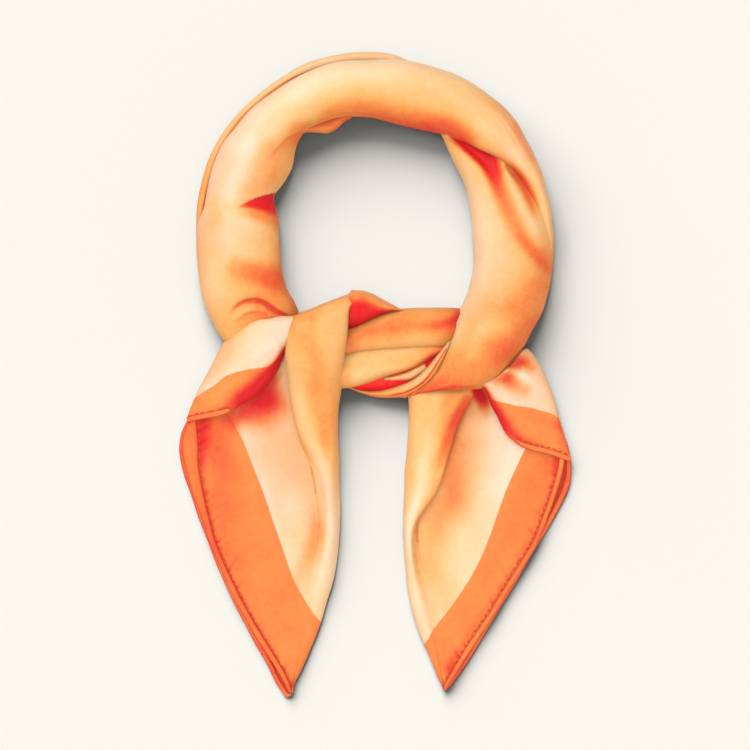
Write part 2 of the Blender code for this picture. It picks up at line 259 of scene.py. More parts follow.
def rows_of(rail, at):
    """The rail's columns at these row numbers, fractions included."""
    places = np.arange(len(next(iter(rail.values()))), dtype=float)
    return {name: through(places, column, at) for name, column in rail.items()}


def side(rail, name):
    """The x and y of one side of a rail."""
    return np.stack([rail[f"{name}_x"], rail[f"{name}_y"]], axis=-1)


def run_along(path):
    """How far along a path each of its points lies: the sum of the steps before it."""
    return np.append(0, np.cumsum(np.linalg.norm(np.diff(path, axis=0), axis=1)))


def even_rows(rail, count, *sides):
    """Row numbers at even steps along the line halfway between these sides, measured in fine steps."""
    last = len(next(iter(rail.values()))) - 1
    fine = np.linspace(0, last, 30 * last + 1)
    read = rows_of(rail, fine)
    run = run_along(sum(side(read, name) for name in sides) / len(sides))
    return np.interp(np.linspace(0, run[-1], count), run, fine)


CROWN_WIDTH = 0.8  # the power of the cosine that a crown's width follows


def crown(count, rise):
    """Shares across and heights of a folded band's top, evenly round a half turn: each is a power of the
    turn's cosine or sine, and rise is the height's power on the outer and the inner side."""
    turn = np.linspace(0, np.pi, count)
    across = 0.5 - 0.5 * np.sign(np.cos(turn)) * np.abs(np.cos(turn)) ** CROWN_WIDTH
    return across, np.abs(np.sin(turn)) ** np.where(turn < np.pi / 2, *rise)


BEND = 6  # the points round an edge's quarter turn
UNDER = 12  # the points from a band's middle to its edge, underneath
ROUND = 0.3  # the largest share of a band's width that one edge's curve takes


def band(rail, count, top, rise=(0.8, 0.8), edges=(2.5, 2.5), tuck=0.6, lap=0.7):
    """A folded band between its rail's outer and inner sides, as (points, row numbers, shares across). Its
    section runs from under the middle outwards, round the outer edge, over the crown, round the inner edge and
    back under, past where it began. bow pushes its middle along the band."""
    rows = even_rows(rail, count, "outer", "inner")
    read = {name: column[:, None] for name, column in rows_of(rail, rows).items()}
    zero = np.zeros((count, 1))
    seats = [read.get("outer_seat", zero), read.get("inner_seat", zero)]
    outer, inner = side(read, "outer"), side(read, "inner")
    width = np.linalg.norm(inner - outer, axis=-1)
    corner = [np.minimum(edge, ROUND * width) for edge in (edges[0], read.get("inner_edge", edges[1]))]
    turn = np.linspace(0, np.pi / 2, BEND)[:-1]
    under = np.linspace(0, 1, UNDER)[:-1]
    over, lift = crown(top, (read.get("outer_rise", rise[0]), read.get("inner_rise", rise[1])))
    across = np.concatenate([
        tuck + (corner[0] / width - tuck) * under,
        corner[0] / width * (1 - np.sin(turn)),
        over + 0 * width,
        1 - corner[1] / width * (1 - np.sin(turn[::-1])),
        1 - corner[1] / width - (tuck - corner[1] / width) * under[1:],
    ], axis=1)
    seat = seats[0] + (seats[1] - seats[0]) * across
    base = seats[0] + corner[0] + (seats[1] + corner[1] - seats[0] - corner[0]) * over
    crown_from = len(under) + len(turn)
    crown_to = crown_from + top
    under_from = crown_to + len(turn)
    high = seat.copy()
    high[:, len(under) : crown_from] += corner[0] * (1 - np.cos(turn))
    high[:, crown_from:crown_to] = base + (read["high"] - base) * lift
    high[:, crown_to:under_from] += corner[1] * (1 - np.cos(turn[::-1]))
    high[:, under_from:] += lap * eased(2 * under[1:])
    plan = outer + (inner - outer) * across[..., None]
    along = np.stack([outer[..., 1] - inner[..., 1], inner[..., 0] - outer[..., 0]], -1) / width[..., None]
    plan = plan + along * (read.get("bow", zero) * 4 * across * (1 - across))[..., None]
    return np.concatenate([plan, high[..., None]], -1), rows, np.clip(across, 0, 1)


def half_across(grid):
    """The middle half of a grid's columns."""
    columns = grid.shape[1]
    return grid[:, columns // 4 : 3 * columns // 4]


def outward(points):
    """The unit normals of a grid of points: the crossed steps down and over it, turned so that they point up
    along its middle."""
    normals = np.cross(np.gradient(points, axis=0), np.gradient(points, axis=1))
    length = np.linalg.norm(normals, axis=-1, keepdims=True)
    normals = normals / np.maximum(length, 1e-9)
    return normals * np.sign(half_across(normals)[..., 2].mean())


def nearest(plan, line):
    """How far each point in plan is from a line through the given points, on which side (1 is its left), and
    the number of the nearest place on it."""
    starts, steps = line[:-1], np.diff(line, axis=0)
    gaps = plan[:, None] - starts
    share = np.clip((gaps * steps).sum(-1) / (steps**2).sum(-1), 0, 1)
    gaps = gaps - share[..., None] * steps
    away = (gaps**2).sum(-1)
    best = away.argmin(axis=1)
    row = np.arange(len(plan))
    left = steps[best, 0] * gaps[row, best, 1] - steps[best, 1] * gaps[row, best, 0]
    return np.sqrt(away[row, best]), np.sign(left), best + share[row, best]


CLIFF = 0.9  # how far a one-sided fold's steep side runs, mm


def creased(points, folds):
    """Depth and redness that a table of folds gives to each point; the redness is painted shade, and where it
    is below 0 a painted highlight. Each fold runs through its rows and is wide to either side. soft is the
    share of its width over which it fades, or all of it, and side keeps it to its line's left (1) or right
    (-1)."""
    plan = points[..., :2].reshape(-1, 2)
    deep, red = np.zeros(len(plan)), np.zeros(len(plan))
    folds = {"soft": np.ones(len(folds["x"])), "side": np.zeros(len(folds["x"]))} | folds
    for number in np.unique(folds["fold"]):
        fold = {name: column[folds["fold"] == number] for name, column in folds.items() if name != "fold"}
        count = len(fold["x"])
        at = np.linspace(0, count - 1, 8 * (count - 1) + 1)
        line = rows_of(fold, at)
        path, reach = np.stack([line["x"], line["y"]], -1), line["wide"].max()
        close = ((plan > path.min(axis=0) - reach) & (plan < path.max(axis=0) + reach)).all(axis=1)
        if not close.any():
            continue
        away, left, place = nearest(plan[close], path)
        here = {name: np.interp(place, np.arange(len(at)), column) for name, column in line.items()}
        share = eased((1 - away / np.maximum(here["wide"], 0.01)) / np.maximum(here["soft"], 0.05))
        kept = eased(0.5 + left * np.sign(here["side"]) * away / CLIFF)
        share = share * (1 - np.abs(here["side"]) * (1 - kept))
        deep[close] += here["deep"] * share
        red[close] += here["red"] * share
    return deep.reshape(points.shape[:2]), red.reshape(points.shape[:2])


def ripple(points, amount, seed):
    """Slow waves in the cloth: the sum of five sine waves, 16 to 60 mm long, in directions of their own."""
    random = np.random.default_rng(seed)
    high = 0
    for length in (16, 23, 31, 44, 60):
        way = random.normal(size=3)
        way *= 2 * np.pi / length / np.linalg.norm(way)
        high = high + np.sin(points @ way + random.uniform(0, 2 * np.pi)) * length / 60
    return amount * high


GROOVE = {"deep": 0.9, "wide": 0.8, "wander": 0.5}  # between two layers of a folded band, mm


def layers(points, normals, rows, levels):
    """The points with the grooves between a folded band's layers, which show only where its sides stand steep.
    Each is a bell curve round its own level, which wanders up and down along the band as a sine wave."""
    groove = 0
    for number, level in enumerate(levels):
        wander = level + GROOVE["wander"] * np.sin(rows[:, None] * (0.9 + 0.23 * number) + 2 * number)
        groove = groove + np.exp(-(((points[..., 2] - wander) / GROOVE["wide"]) ** 2))
    return points - normals * (groove * GROOVE["deep"] * eased(1 - 1.6 * np.abs(normals[..., 2])))[..., None]


def pressed(points, folds, wave, seed, rows=None, levels=()):
    """The points with their layers' grooves, and with a table of folds and slow waves pressed in along their
    normals. Also the folds' redness, painted shade in their hollows and painted highlight on their ridges,
    which fades out on the underside."""
    normals = outward(points)
    deep, red = creased(points, folds)
    points = layers(points, normals, rows, levels)
    points = points - normals * (deep * np.clip(normals[..., 2], 0, 1) + ripple(points, wave, seed))[..., None]
    points[..., 2] = np.maximum(points[..., 2], 0)
    return points, red * eased(2.5 * normals[..., 2] + 0.5)


def painted_slope_shade(points):
    """Painted shade: how much redder the satin is painted where it turns away, a share of how steep it is and a
    share of how far it leans away from the window."""
    normals = outward(points)
    turn = math.radians(SLOPE_SHADE["window"])
    away = -(normals[..., 0] * math.cos(turn) + normals[..., 1] * math.sin(turn))
    steep = np.clip(1 - normals[..., 2], 0, 1)
    return SLOPE_SHADE["steep"] * steep**1.3 + SLOPE_SHADE["far"] * np.maximum(away, 0) ** 1.5


def toned(tones, rows, across, turns=(0.0, 1.0)):
    """The tone and the blush at each point of a band, from a table with a row for some of the rail's rows. The
    blush turns from the outer side's to the inner side's between two shares across."""
    names = [name for name in tones if name not in ("row", "blush_outer", "blush_inner")]
    at = [through(tones["row"], tones[name], rows) for name in names]
    tone = through(np.linspace(0, 1, len(names)), np.stack(at, -1), across)
    blush = [through(tones["row"], tones[name], rows)[:, None] for name in ("blush_outer", "blush_inner")]
    return tone, blush[0] + (blush[1] - blush[0]) * np.clip((across - turns[0]) / (turns[1] - turns[0]), 0, 1)


def satin(name, border=False, painted_glow=0.3):
    """Satin whose colour follows the cloth's tone, blush and redness, with a fine weave and slubs. The tone and
    redness hold painted highlights and painted shade as well as the satin's ombre. Past the border's line it
    has the border's plain orange, reddened by the same painted shade. The emission that glow sets is painted
    light, of the satin's own colour, which lifts its shaded parts."""
    material = bpy.data.materials.new(name)
    nodes = Nodes(material)
    weave = nodes.node("UVMap", uv_map="weave")
    place = nodes.node("TexCoord", output="Object")
    mottle = nodes.node("TexNoise", {"Vector": place, "Scale": 260.0, "Detail": 4.0, "Roughness": 0.62})
    cloud = nodes.node("TexNoise", {"Vector": place, "Scale": 60.0, "Detail": 2.0})
    drift = nodes.node("TexNoise", {"Vector": place, "Scale": 24.0, "Detail": 1.0})
    speck = nodes.node("TexNoise", {"Vector": place, "Scale": 1300.0, "Detail": 2.0})

    def attribute(label):
        """One of the values that cloth() stores at each point."""
        return nodes.node("Attribute", output="Fac", attribute_name=label)

    grainy = (speck - 0.5) * 0.14 + (mottle - 0.5) * 0.16 + (cloud - 0.5) * 0.16 + (drift - 0.5) * 0.16
    # the tone and redness hold the ombre together with painted highlights and painted shade
    tone = (attribute("tone") + attribute("red") + grainy).held()
    gold = nodes.stops(tone, (0.0, "#EFD0A9"), (0.22, "#EDBC81"), (0.45, "#EBA359"), (0.6, "#E78440"),
                       (0.7, "#E56634"), (0.82, "#E04428"), (1.0, "#DC1E20"))
    peach = nodes.stops(tone, (0.0, "#EFCEB7"), (0.22, "#EDBC97"), (0.45, "#EBA473"), (0.65, "#E57E48"),
                        (0.82, "#E04E36"), (1.0, "#DC1E22"))
    colour = nodes.mixed(attribute("blush").held(), gold, peach)
    if border:
        # the border's plain orange, reddened by the folds' painted shade
        dye_and_shade = (attribute("red") + (mottle - 0.5) * 0.3 + (cloud - 0.5) * 0.3 + 0.36).held()
        plain = nodes.stops(dye_and_shade, (0.0, "#EE9B4F"), (0.25, "#EB8744"), (0.5, "#E8743B"), (0.75, "#E24E2D"),
                            (1.0, "#DA2022"))
        over_line = (attribute("border") * 1.6 + 0.5 + (mottle - 0.5) * 0.4).held()
        colour = nodes.mixed(over_line, colour, plain)
    threads = nodes.node("Mapping", {"Vector": weave, "Scale": (0.55, 0.12, 1.0)})
    slubs = nodes.node("TexNoise", {"Vector": threads, "Scale": 2.2, "Detail": 3.0})
    twill = nodes.node("TexWave", {"Vector": weave, "Scale": 0.62, "Distortion": 1.5, "Detail": 2.0}, output=1,
                       bands_direction="DIAGONAL")
    height = slubs * 0.8 + twill * 0.25
    # the emission is painted light that lifts the satin's shaded parts
    nodes.finish({
        **SATIN, "Base Color": colour, "Emission Color": colour, "Emission Strength": painted_glow,
        "Roughness": (mottle - 0.5) * 0.16 + SATIN["Roughness"],
        "Normal": nodes.node("Bump", {"Height": height, "Strength": 0.25, "Distance": 0.0002}),
    })
    return material


surfaces = {}  # the points of each stretch of cloth, by its name
NO_BORDER = -5.0  # a distance inside the border's line that no border reaches, mm


def cloth(name, points, tone, blush, red, material, border=NO_BORDER, wall=WALL):
    """A stretch of cloth on a grid of points in mm, and its flat size. Its own measures in mm are its UV map,
    and its tone, blush, redness and distance past the border's line are attributes. The redness is mostly
    painted shade and painted highlight in folds and seams, and it adds painted shade on steep sides and on
    those turned from the window. A Solidify gives it its wall, inwards, and the wall stays above the table."""
    surfaces[name] = points
    rows, columns = points.shape[:2]
    lowest = 1.2 * wall * np.maximum(outward(points)[..., 2], 0)
    points = np.concatenate([points[..., :2], np.maximum(points[..., 2], lowest)[..., None]], -1)
    corner = (np.arange(rows - 1)[:, None] * columns + np.arange(columns - 1)).reshape(-1)
    faces = np.stack([corner, corner + 1, corner + columns + 1, corner + columns], -1)
    lifted = np.cross(points[1:, :-1] - points[:-1, :-1], points[:-1, 1:] - points[:-1, :-1])
    if half_across(lifted)[..., 2].sum() > 0:
        faces = faces[:, ::-1]
    mesh = bpy.data.meshes.new(name)
    mesh.from_pydata(points.reshape(-1, 3) * MM, [], faces.tolist())
    mesh.polygons.foreach_set("use_smooth", np.ones(len(faces), bool))
    down = np.linalg.norm(np.diff(points, axis=0), axis=-1).mean(axis=1)
    over = np.linalg.norm(np.diff(points, axis=1), axis=-1).mean(axis=0)
    u, v = np.meshgrid(np.append(0, np.cumsum(down)), np.append(0, np.cumsum(over)), indexing="ij")
    corners = np.stack([u, v], -1).reshape(-1, 2)[faces.reshape(-1)]
    mesh.uv_layers.new(name="weave").data.foreach_set("uv", corners.reshape(-1))
    # the redness holds the folds' painted shade, with more painted shade on steep sides and sides turned from
    # the window
    fields = {"tone": tone, "blush": blush, "red": red + painted_slope_shade(points), "border": border}
    for label, values in fields.items():
        layer = mesh.attributes.new(label, "FLOAT", "POINT")
        layer.data.foreach_set("value", np.broadcast_to(values, (rows, columns)).reshape(-1).astype(np.float32))
    mesh.materials.append(material)
    piece = shown(name, mesh)
    # the cloth's emission, painted light, lights nothing else
    piece.light_linking.receiver_collection = lit["nothing"]  # its glow lights nothing else
    lit["nothing"].objects.link(piece)
    lit["nothing"].collection_objects[-1].light_linking.link_state = "EXCLUDE"
    thick = piece.modifiers.new("wall", "SOLIDIFY")
    thick.thickness, thick.offset = wall * MM, -1.0
    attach(piece, "root")
    return piece, [float(lengths.sum() * MM) for lengths in (over, down)]


def folded(name, rail, count, top, tones, folds, material, levels=(), wave=0.25, seed=1, border=None, **shape):
    """A folded band of cloth with its layers' grooves, its creases pressed into it, its tones and its border,
    which is a line and the side that it is on."""
    points, rows, across = band(rail, count, top, **shape)
    points, red = pressed(points, folds, wave, seed, rows, levels)
    tone, blush = toned(tones, rows, across)
    return cloth(name, points, tone, blush, red, material, past(points, *border) if border else NO_BORDER)


def lay(stands_for, held="folded", rests_on="tabletop"):
    """Hides the CAD nodes that a stretch of cloth stands for. held and rests_on are not used."""
    if stands_for:
        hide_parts(*stands_for)


LOOP_UPPER = table(
    "outer_x outer_y inner_x inner_y high bow inner_seat inner_edge inner_rise",
    (-86.5, 16, -46, 29, 13, 4, 0, 2.5, 0.8),
    (-92.5, 22.5, -46.2, 36.5, 17, 5, 0, 2.5, 0.8),
    (-98.5, 32.5, -49, 44, 20, 4, 0, 2.5, 0.8),
    (-103, 44.5, -52, 49, 22, 3, 0, 2.5, 0.8),
    (-105.5, 56, -55, 56.5, 23, 1, 0, 2.5, 0.8),
    (-107, 68, -56.5, 67.5, 23, 0, 0, 2.5, 0.8),
    (-107.5, 80.5, -57.5, 80, 23, 0, 0, 2.5, 0.8),
    (-106.7, 91.5, -58, 91, 23, 0, 0, 2.5, 0.8),
    (-103.4, 100.5, -59.5, 99.5, 22, 0, 0, 2.5, 0.9),
    (-101.6, 109.7, -60.5, 107, 22, 0, 0, 2.5, 1.1),
    (-99.8, 118.9, -55, 115, 22, 0, 0, 2.5, 1.3),
    (-96.6, 129, -50, 124.5, 22, 0, 0, 2.5, 1.3),
    (-91.3, 139.3, -48, 133.5, 22.5, 0, 0, 2.5, 1.1),
    (-83.7, 148.7, -45.5, 140.5, 23, 0, 0, 2.5, 0.8),
    (-74.2, 160, -41, 146, 23.5, 0, 0, 2.5, 0.8),
    (-61.3, 169.6, -33.5, 149.5, 24, 0, 0, 2.5, 0.8),
    (-44.6, 179.8, -23.5, 153, 24, 0, 0, 2.5, 0.8),
    (-24, 186.9, -12.5, 154.5, 24, 0, 0, 2.5, 0.8),
    (-3.4, 188.4, -1.5, 153.5, 24, 0, 0, 2.5, 0.8),
    (17.3, 188.3, 10, 150.5, 24, 0, 0, 2.5, 0.8),
    (35.5, 184, 22, 147.5, 24, 0, 0, 2.5, 0.8),
    (52, 178, 32.5, 145.5, 24, 0, 0, 2.5, 0.8),
    (64.5, 170.5, 41.5, 143, 24, 0, 2, 2.5, 0.8),
    (74.5, 162.5, 52, 139, 24.5, 0, 8, 2.5, 0.8),
    (83, 153.5, 61.1, 134.7, 25, 0, 12, 2.2, 0.8),
    (89.5, 142.5, 69.6, 131, 25.5, 0, 14, 1.8, 0.9),
    (95, 131, 77.5, 126.5, 25, 0, 15.5, 1.4, 1),
    (99.5, 120.5, 83.5, 121.2, 23, 0, 16, 1, 1.1),
    (102.5, 110, 88, 114.5, 21, 0, 16.5, 0.8, 1.1),
    (104.8, 100, 92, 107, 19.5, 0, 16.5, 0.6, 1.1),
    (105.8, 91, 95.5, 98, 17.2, 0, 15.2, 0.5, 1.1),
    (106.4, 82.5, 98, 88.5, 14.5, 0, 13.5, 0.4, 1.1),
    (106, 73, 100.5, 78, 10, 0, 9, 0.4, 1.1),
)

# Tones in tenths, from cream (0) through gold (4) and orange (6) to crimson (10), at even steps from the outer
# side to the inner one. They hold the satin's ombre together with painted highlights and painted shade: paler
# where the cloth faces the light, redder where it turns from it or lies in shade. blush is how much peach
# there is in them.
LOOP_UPPER_TONES = tenths(
    "row outer second third fourth fifth inner blush_outer blush_inner",
    (0, 4, 4, 5, 6, 6, 6, 0, 0),
    (2, 4, 4, 5, 6, 6, 6, 1, 0),
    (3, 3, 3, 4, 5, 6, 6, 2, 0),
    (4, 3, 3, 4, 4, 5, 5, 3, 0),
    (5, 3, 3, 3, 3, 4, 5, 5, 0),
    (6, 3, 3, 2, 3, 4, 4, 7, 1),
    (7, 2, 4, 2, 2, 3, 4, 6, 1),
    (8, 2, 3, 1, 3, 4, 4, 5, 0),
    (9, 2, 2, 1, 4, 4, 2, 8, 2),
    (10, 1, 2, 1, 4, 5, 3, 10, 1),
    (11, 1, 2, 1, 4, 5, 3, 10, 1),
    (12, 1, 1, 0, 4, 5, 4, 9, 1),
    (13, 0, 1, 1, 2, 5, 5, 6, 0),
    (14, 0, 0, 1, 2, 5, 5, 3, 0),
    (15, 0, 0, 1, 3, 4, 5, 1, 0),
    (16, 0, 0, 1, 3, 5, 5, 0, 0),
    (18, 0, 1, 2, 4, 6, 6, 1, 0),
    (20, 1, 2, 3, 4, 6, 7, 2, 0),
    (22, 2, 3, 3, 4, 7, 7, 1, 0),
    (23, 4, 3, 3, 3, 6, 7, 3, 0),
    (24, 5, 3, 3, 3, 4, 5, 6, 1),
    (25, 5, 4, 3, 3, 4, 5, 7, 3),
    (26, 4, 4, 3, 2, 4, 6, 7, 2),
    (28, 3, 3, 3, 3, 4, 5, 3, 0),
    (32, 3, 3, 3, 3, 3, 3, 0, 0),
)

# The places along each fold, half its width, its depth and how much redder it is painted: painted shade in a
# hollow, and below 0 a painted highlight on a ridge. A ridge's depth is below 0.
LOOP_UPPER_FOLDS = table(
    "fold x y wide deep red soft side",
    # the pinch at the inner left
    (1, -81, 100.5, 2, 0.2, 0.2, 0.8, -1), (1, -75, 103.4, 6.5, 0.8, 0.5, 0.7, -1),
    (1, -67.5, 106.4, 13, 1.6, 0.7, 0.7, -1), (1, -60, 108.6, 17, 2.2, 0.8, 0.65, -1),
    (1, -54, 109.4, 18, 2.2, 0.8, 0.65, -1),
    (2, -86, 100.5, 6, 0.3, 0.12, 1, 0), (2, -76, 98.5, 9, 0.9, 0.2, 1, 0), (2, -66, 96, 10, 1.2, 0.16, 1, 0),
    (2, -56, 95, 10, 1.2, 0.12, 1, 0),
    (3, -72, 95, 6, 0.5, 0.12, 1, 0), (3, -58, 90, 8, 0.8, 0.12, 1, 0),
    # the upper layer's edge at the inner upper left
    (4, -63, 130, 5, 0.2, 0.04, 1, -1), (4, -57, 136, 8, 0.8, 0.06, 1, -1), (4, -52, 141, 9, 1.4, 0.08, 1, -1),
    (4, -46, 144, 8, 1.6, 0.08, 1, -1), (4, -40, 145.5, 6, 0.6, 0.1, 1, -1),
    # the arched crease above the knot, and the small one in it
    (5, -86.5, 37, 1.2, 0.4, 0.1, 0.9, 0), (5, -81.5, 41.5, 2.1, 1.4, 0.26, 0.9, 0),
    (5, -75, 43.8, 2.5, 1.8, 0.26, 0.9, 0), (5, -67.5, 43, 2.5, 1.7, 0.24, 0.9, 0),
    (5, -60, 38, 2.6, 1.6, 0.22, 0.9, 0), (5, -52.5, 34, 2.4, 1.4, 0.2, 0.9, 0),
    (6, -84, 34, 3, -1, -0.05, 1, 0), (6, -74, 38.5, 3.5, -1.4, -0.1, 1, 0), (6, -63, 35, 3, -1, 0, 1, 0),
    (7, -78.5, 36, 1.5, 0.4, 0.1, 1, 0), (7, -71, 37.5, 1.8, 0.6, 0.12, 1, 0),
    (7, -65, 36, 1.5, 0.4, 0.1, 1, 0),
    # the dent at the inner left
    (8, -82, 64, 10, 0.4, 0.22, 0.8, 0), (8, -76, 62, 12, 0.9, 0.3, 0.9, 0),
    (8, -68, 60, 12, 1.2, 0.27, 0.9, 0), (8, -60, 58, 11, 1.2, 0.22, 0.9, 0), (8, -53, 57, 11, 1, 0.18, 1, 0),
    # fine wrinkles and a flatter strip at the outer upper right
    (9, 73, 154, 0.9, 0.2, 0.05, 1, 0), (9, 79, 145, 1, 0.3, 0.08, 1, 0), (9, 85, 136, 0.9, 0.2, 0.05, 1, 0),
    (10, 77, 153.5, 0.8, 0.2, 0.04, 1, 0), (10, 84, 143.5, 0.9, 0.25, 0.06, 1, 0),
    (11, 70, 161, 3, 0.2, 0.04, 1, 0), (11, 82, 148.5, 4, 0.5, 0.08, 1, 0), (11, 93, 128, 3, 0.3, 0.05, 1, 0),
    # the end's hollow, where it runs into the stretch below
    (14, 82, 124, 3, 0.2, 0.1, 1, 0), (14, 88, 116, 5, 0.6, 0.28, 1, 0), (14, 92, 109, 5.5, 0.6, 0.3, 1, 0),
    (14, 95, 101, 4.5, 0.4, 0.2, 1, 0), (14, 96.5, 95, 3, 0.1, 0.05, 1, 0),
    # slow hollows along the top
    (12, -40, 172, 9, 0.5, 0.02, 1, 0), (12, 2, 174, 10, 0.7, 0.03, 1, 0), (12, 40, 165, 9, 0.5, 0.02, 1, 0),
    (13, -96, 70, 8, 0.7, 0.03, 1, 0), (13, -94, 95, 8, 0.6, 0.02, 1, 0),
)

LEVELS = (3.5, 7, 10.5, 14)  # how high the loop's layers meet, mm
field_satin = satin("ombre_satin_with_painted_light")
loop_upper, cut = folded("satin_loop_upper", LOOP_UPPER, 360, 80, LOOP_UPPER_TONES, LOOP_UPPER_FOLDS,
                         field_satin, levels=LEVELS, seed=3)
lay(["loop_left", "loop_top"])

# ---- The lower layer's edge, which stands out past the loop's outer upper left, and its lobe at the inner
# upper left. They are the same satin, one fold further down, and only their edges show.

RIM = table(
    "outer_x outer_y inner_x inner_y high",
    (-107.5, 79, -106, 79.5, 2.5),
    (-107.5, 88, -102.3, 89.5, 5.5),
    (-107, 101.5, -100.7, 100.1, 8),
    (-104, 116.5, -96.8, 114.5, 8),
    (-100, 129.5, -93.5, 125.6, 8),
    (-94.5, 140.5, -88, 136, 8),
    (-86, 152.5, -80.2, 147.3, 8),
    (-74.5, 164.5, -69.3, 158.7, 8),
    (-59, 176.5, -54.4, 170.6, 8),
    (-41.5, 186.5, -38.8, 179.8, 8),
    (-21.5, 192, -19.5, 184.8, 8),
    (-3.5, 193.5, -2.2, 185.7, 8),
    (10, 192, 10, 185.2, 7),
    (18.5, 188.5, 17.5, 186.5, 5),
)
RIM_TONES = tenths(
    "row outer middle inner blush_outer blush_inner",
    (0, 4, 4, 7, 2, 0),
    (2, 5, 5, 9, 0, 0),
    (5, 3, 4, 8, 0, 0),
    (7, 2, 3, 7, 0, 0),
    (9, 2, 3, 7, 2, 2),
    (13, 2, 2, 5, 3, 3),
)
NO_FOLDS = table(
    "fold x y wide deep red",
    (1, 0, 0, 1, 0, 0), (1, 1, 0, 1, 0, 0),
)

RIM_FOLDS = table(
    "fold x y wide deep red",
    # painted shade: the dark line along the edge of the layer above
    (1, -104, 92, 0.8, 0.2, 0.2), (1, -100.6, 109.1, 1, 0.5, 0.4), (1, -95.8, 126.8, 1, 0.5, 0.4),
    (1, -90.5, 138.6, 1, 0.5, 0.4), (1, -75.1, 158.7, 1, 0.5, 0.4), (1, -45.4, 178.8, 1, 0.5, 0.4),
    (1, -4, 187.4, 1, 0.4, 0.3),
)
rim, cut = folded("satin_rim", RIM, 220, 24, RIM_TONES, RIM_FOLDS, field_satin, wave=0.1, seed=4,
                  edges=(1.5, 0.5))
lay(["outer_ply"])

LOBE = table(
    "outer_x outer_y inner_x inner_y high",
    (-46.5, 146, -46, 143.5, 5),
    (-42.5, 148.5, -41.5, 145, 8),
    (-36.5, 151.5, -35.5, 145, 9),
    (-30.5, 154, -29, 144.5, 9),
    (-25, 155.5, -23.5, 147, 9),
    (-20, 156.5, -18.5, 151.5, 8),
    (-15.5, 155.5, -14, 154, 6),
)
LOBE_TONES = tenths(
    "row outer middle inner blush_outer blush_inner",
    (0, 8, 7, 5, 0, 3),
    (3, 8, 7, 5, 0, 2),
    (6, 8, 7, 6, 0, 0),
)
lobe, cut = folded("satin_lobe", LOBE, 50, 26, LOBE_TONES, NO_FOLDS, field_satin, wave=0.1, seed=5,
                   edges=(1, 1.5))
lay(["inner_lobe"])

# ---- The loop's right stretch: the band's other half, which comes out from under the upper one, turns down to
# the knot and passes under it. Two deep creases run down from where the upper stretch crosses it.

LOOP_LOWER = table(
    "outer_x outer_y inner_x inner_y high",
    (49.5, 154, 36.5, 148, 10),
    (61.5, 148.5, 39.5, 143, 13),
    (73, 141.5, 42, 138, 16),
    (82, 133.5, 44.5, 132.5, 18.5),
    (89, 125, 48, 125, 20.5),
    (95.8, 115.5, 51.5, 117.5, 21.5),
    (101.2, 105.5, 54.5, 108.5, 22.5),
    (104.8, 95.5, 56.5, 98.5, 23.5),
    (106.3, 86.5, 57.5, 88, 24.5),
    (106.5, 77.5, 58.5, 77.5, 25),
    (106.5, 66.5, 58, 64.5, 25),
    (104, 52, 55, 50.5, 25),
    (100.5, 39.5, 50, 38, 26),
    (95.5, 28.5, 46, 28, 27),
    (90.5, 18.5, 43, 19.5, 28),
    (84.5, 10, 40, 12.5, 28),
    (78.5, 1, 36.5, 5, 27),
    (71, -5.5, 31.5, -2, 25),
    (62, -9, 25.5, -8, 21),
    (47.5, -9, 20, -11.5, 16),
    (29.5, -11.5, 17, -13, 11),
    (22, -11.6, 15.5, -11, 8),
)
LOOP_LOWER_TONES = tenths(
    "row outer second third fourth fifth inner blush_outer blush_inner",
    (0, 5, 5, 5, 5, 5, 4, 0, 0),
    (3, 4, 4, 4, 4, 3, 3, 0, 1),
    (5, 3, 4, 4, 3, 2, 2, 0, 2),
    (7, 3, 4, 4, 3, 2, 1, 2, 4),
    (9, 4, 4, 4, 3, 2, 1, 0, 6),
    (10, 5, 5, 4, 3, 2, 1, 0, 7),
    (11, 5, 6, 5, 4, 3, 1, 0, 6),
    (12, 5, 6, 6, 5, 4, 1, 0, 5),
    (13, 6, 6, 5, 4, 4, 1, 0, 4),
    (14, 6, 6, 6, 5, 4, 2, 0, 2),
    (15, 5, 6, 6, 5, 5, 4, 0, 0),
    (16, 4, 5, 6, 6, 6, 4, 0, 0),
    (17, 4, 5, 6, 6, 6, 4, 0, 0),
    (21, 4, 5, 6, 6, 6, 4, 0, 0),
)
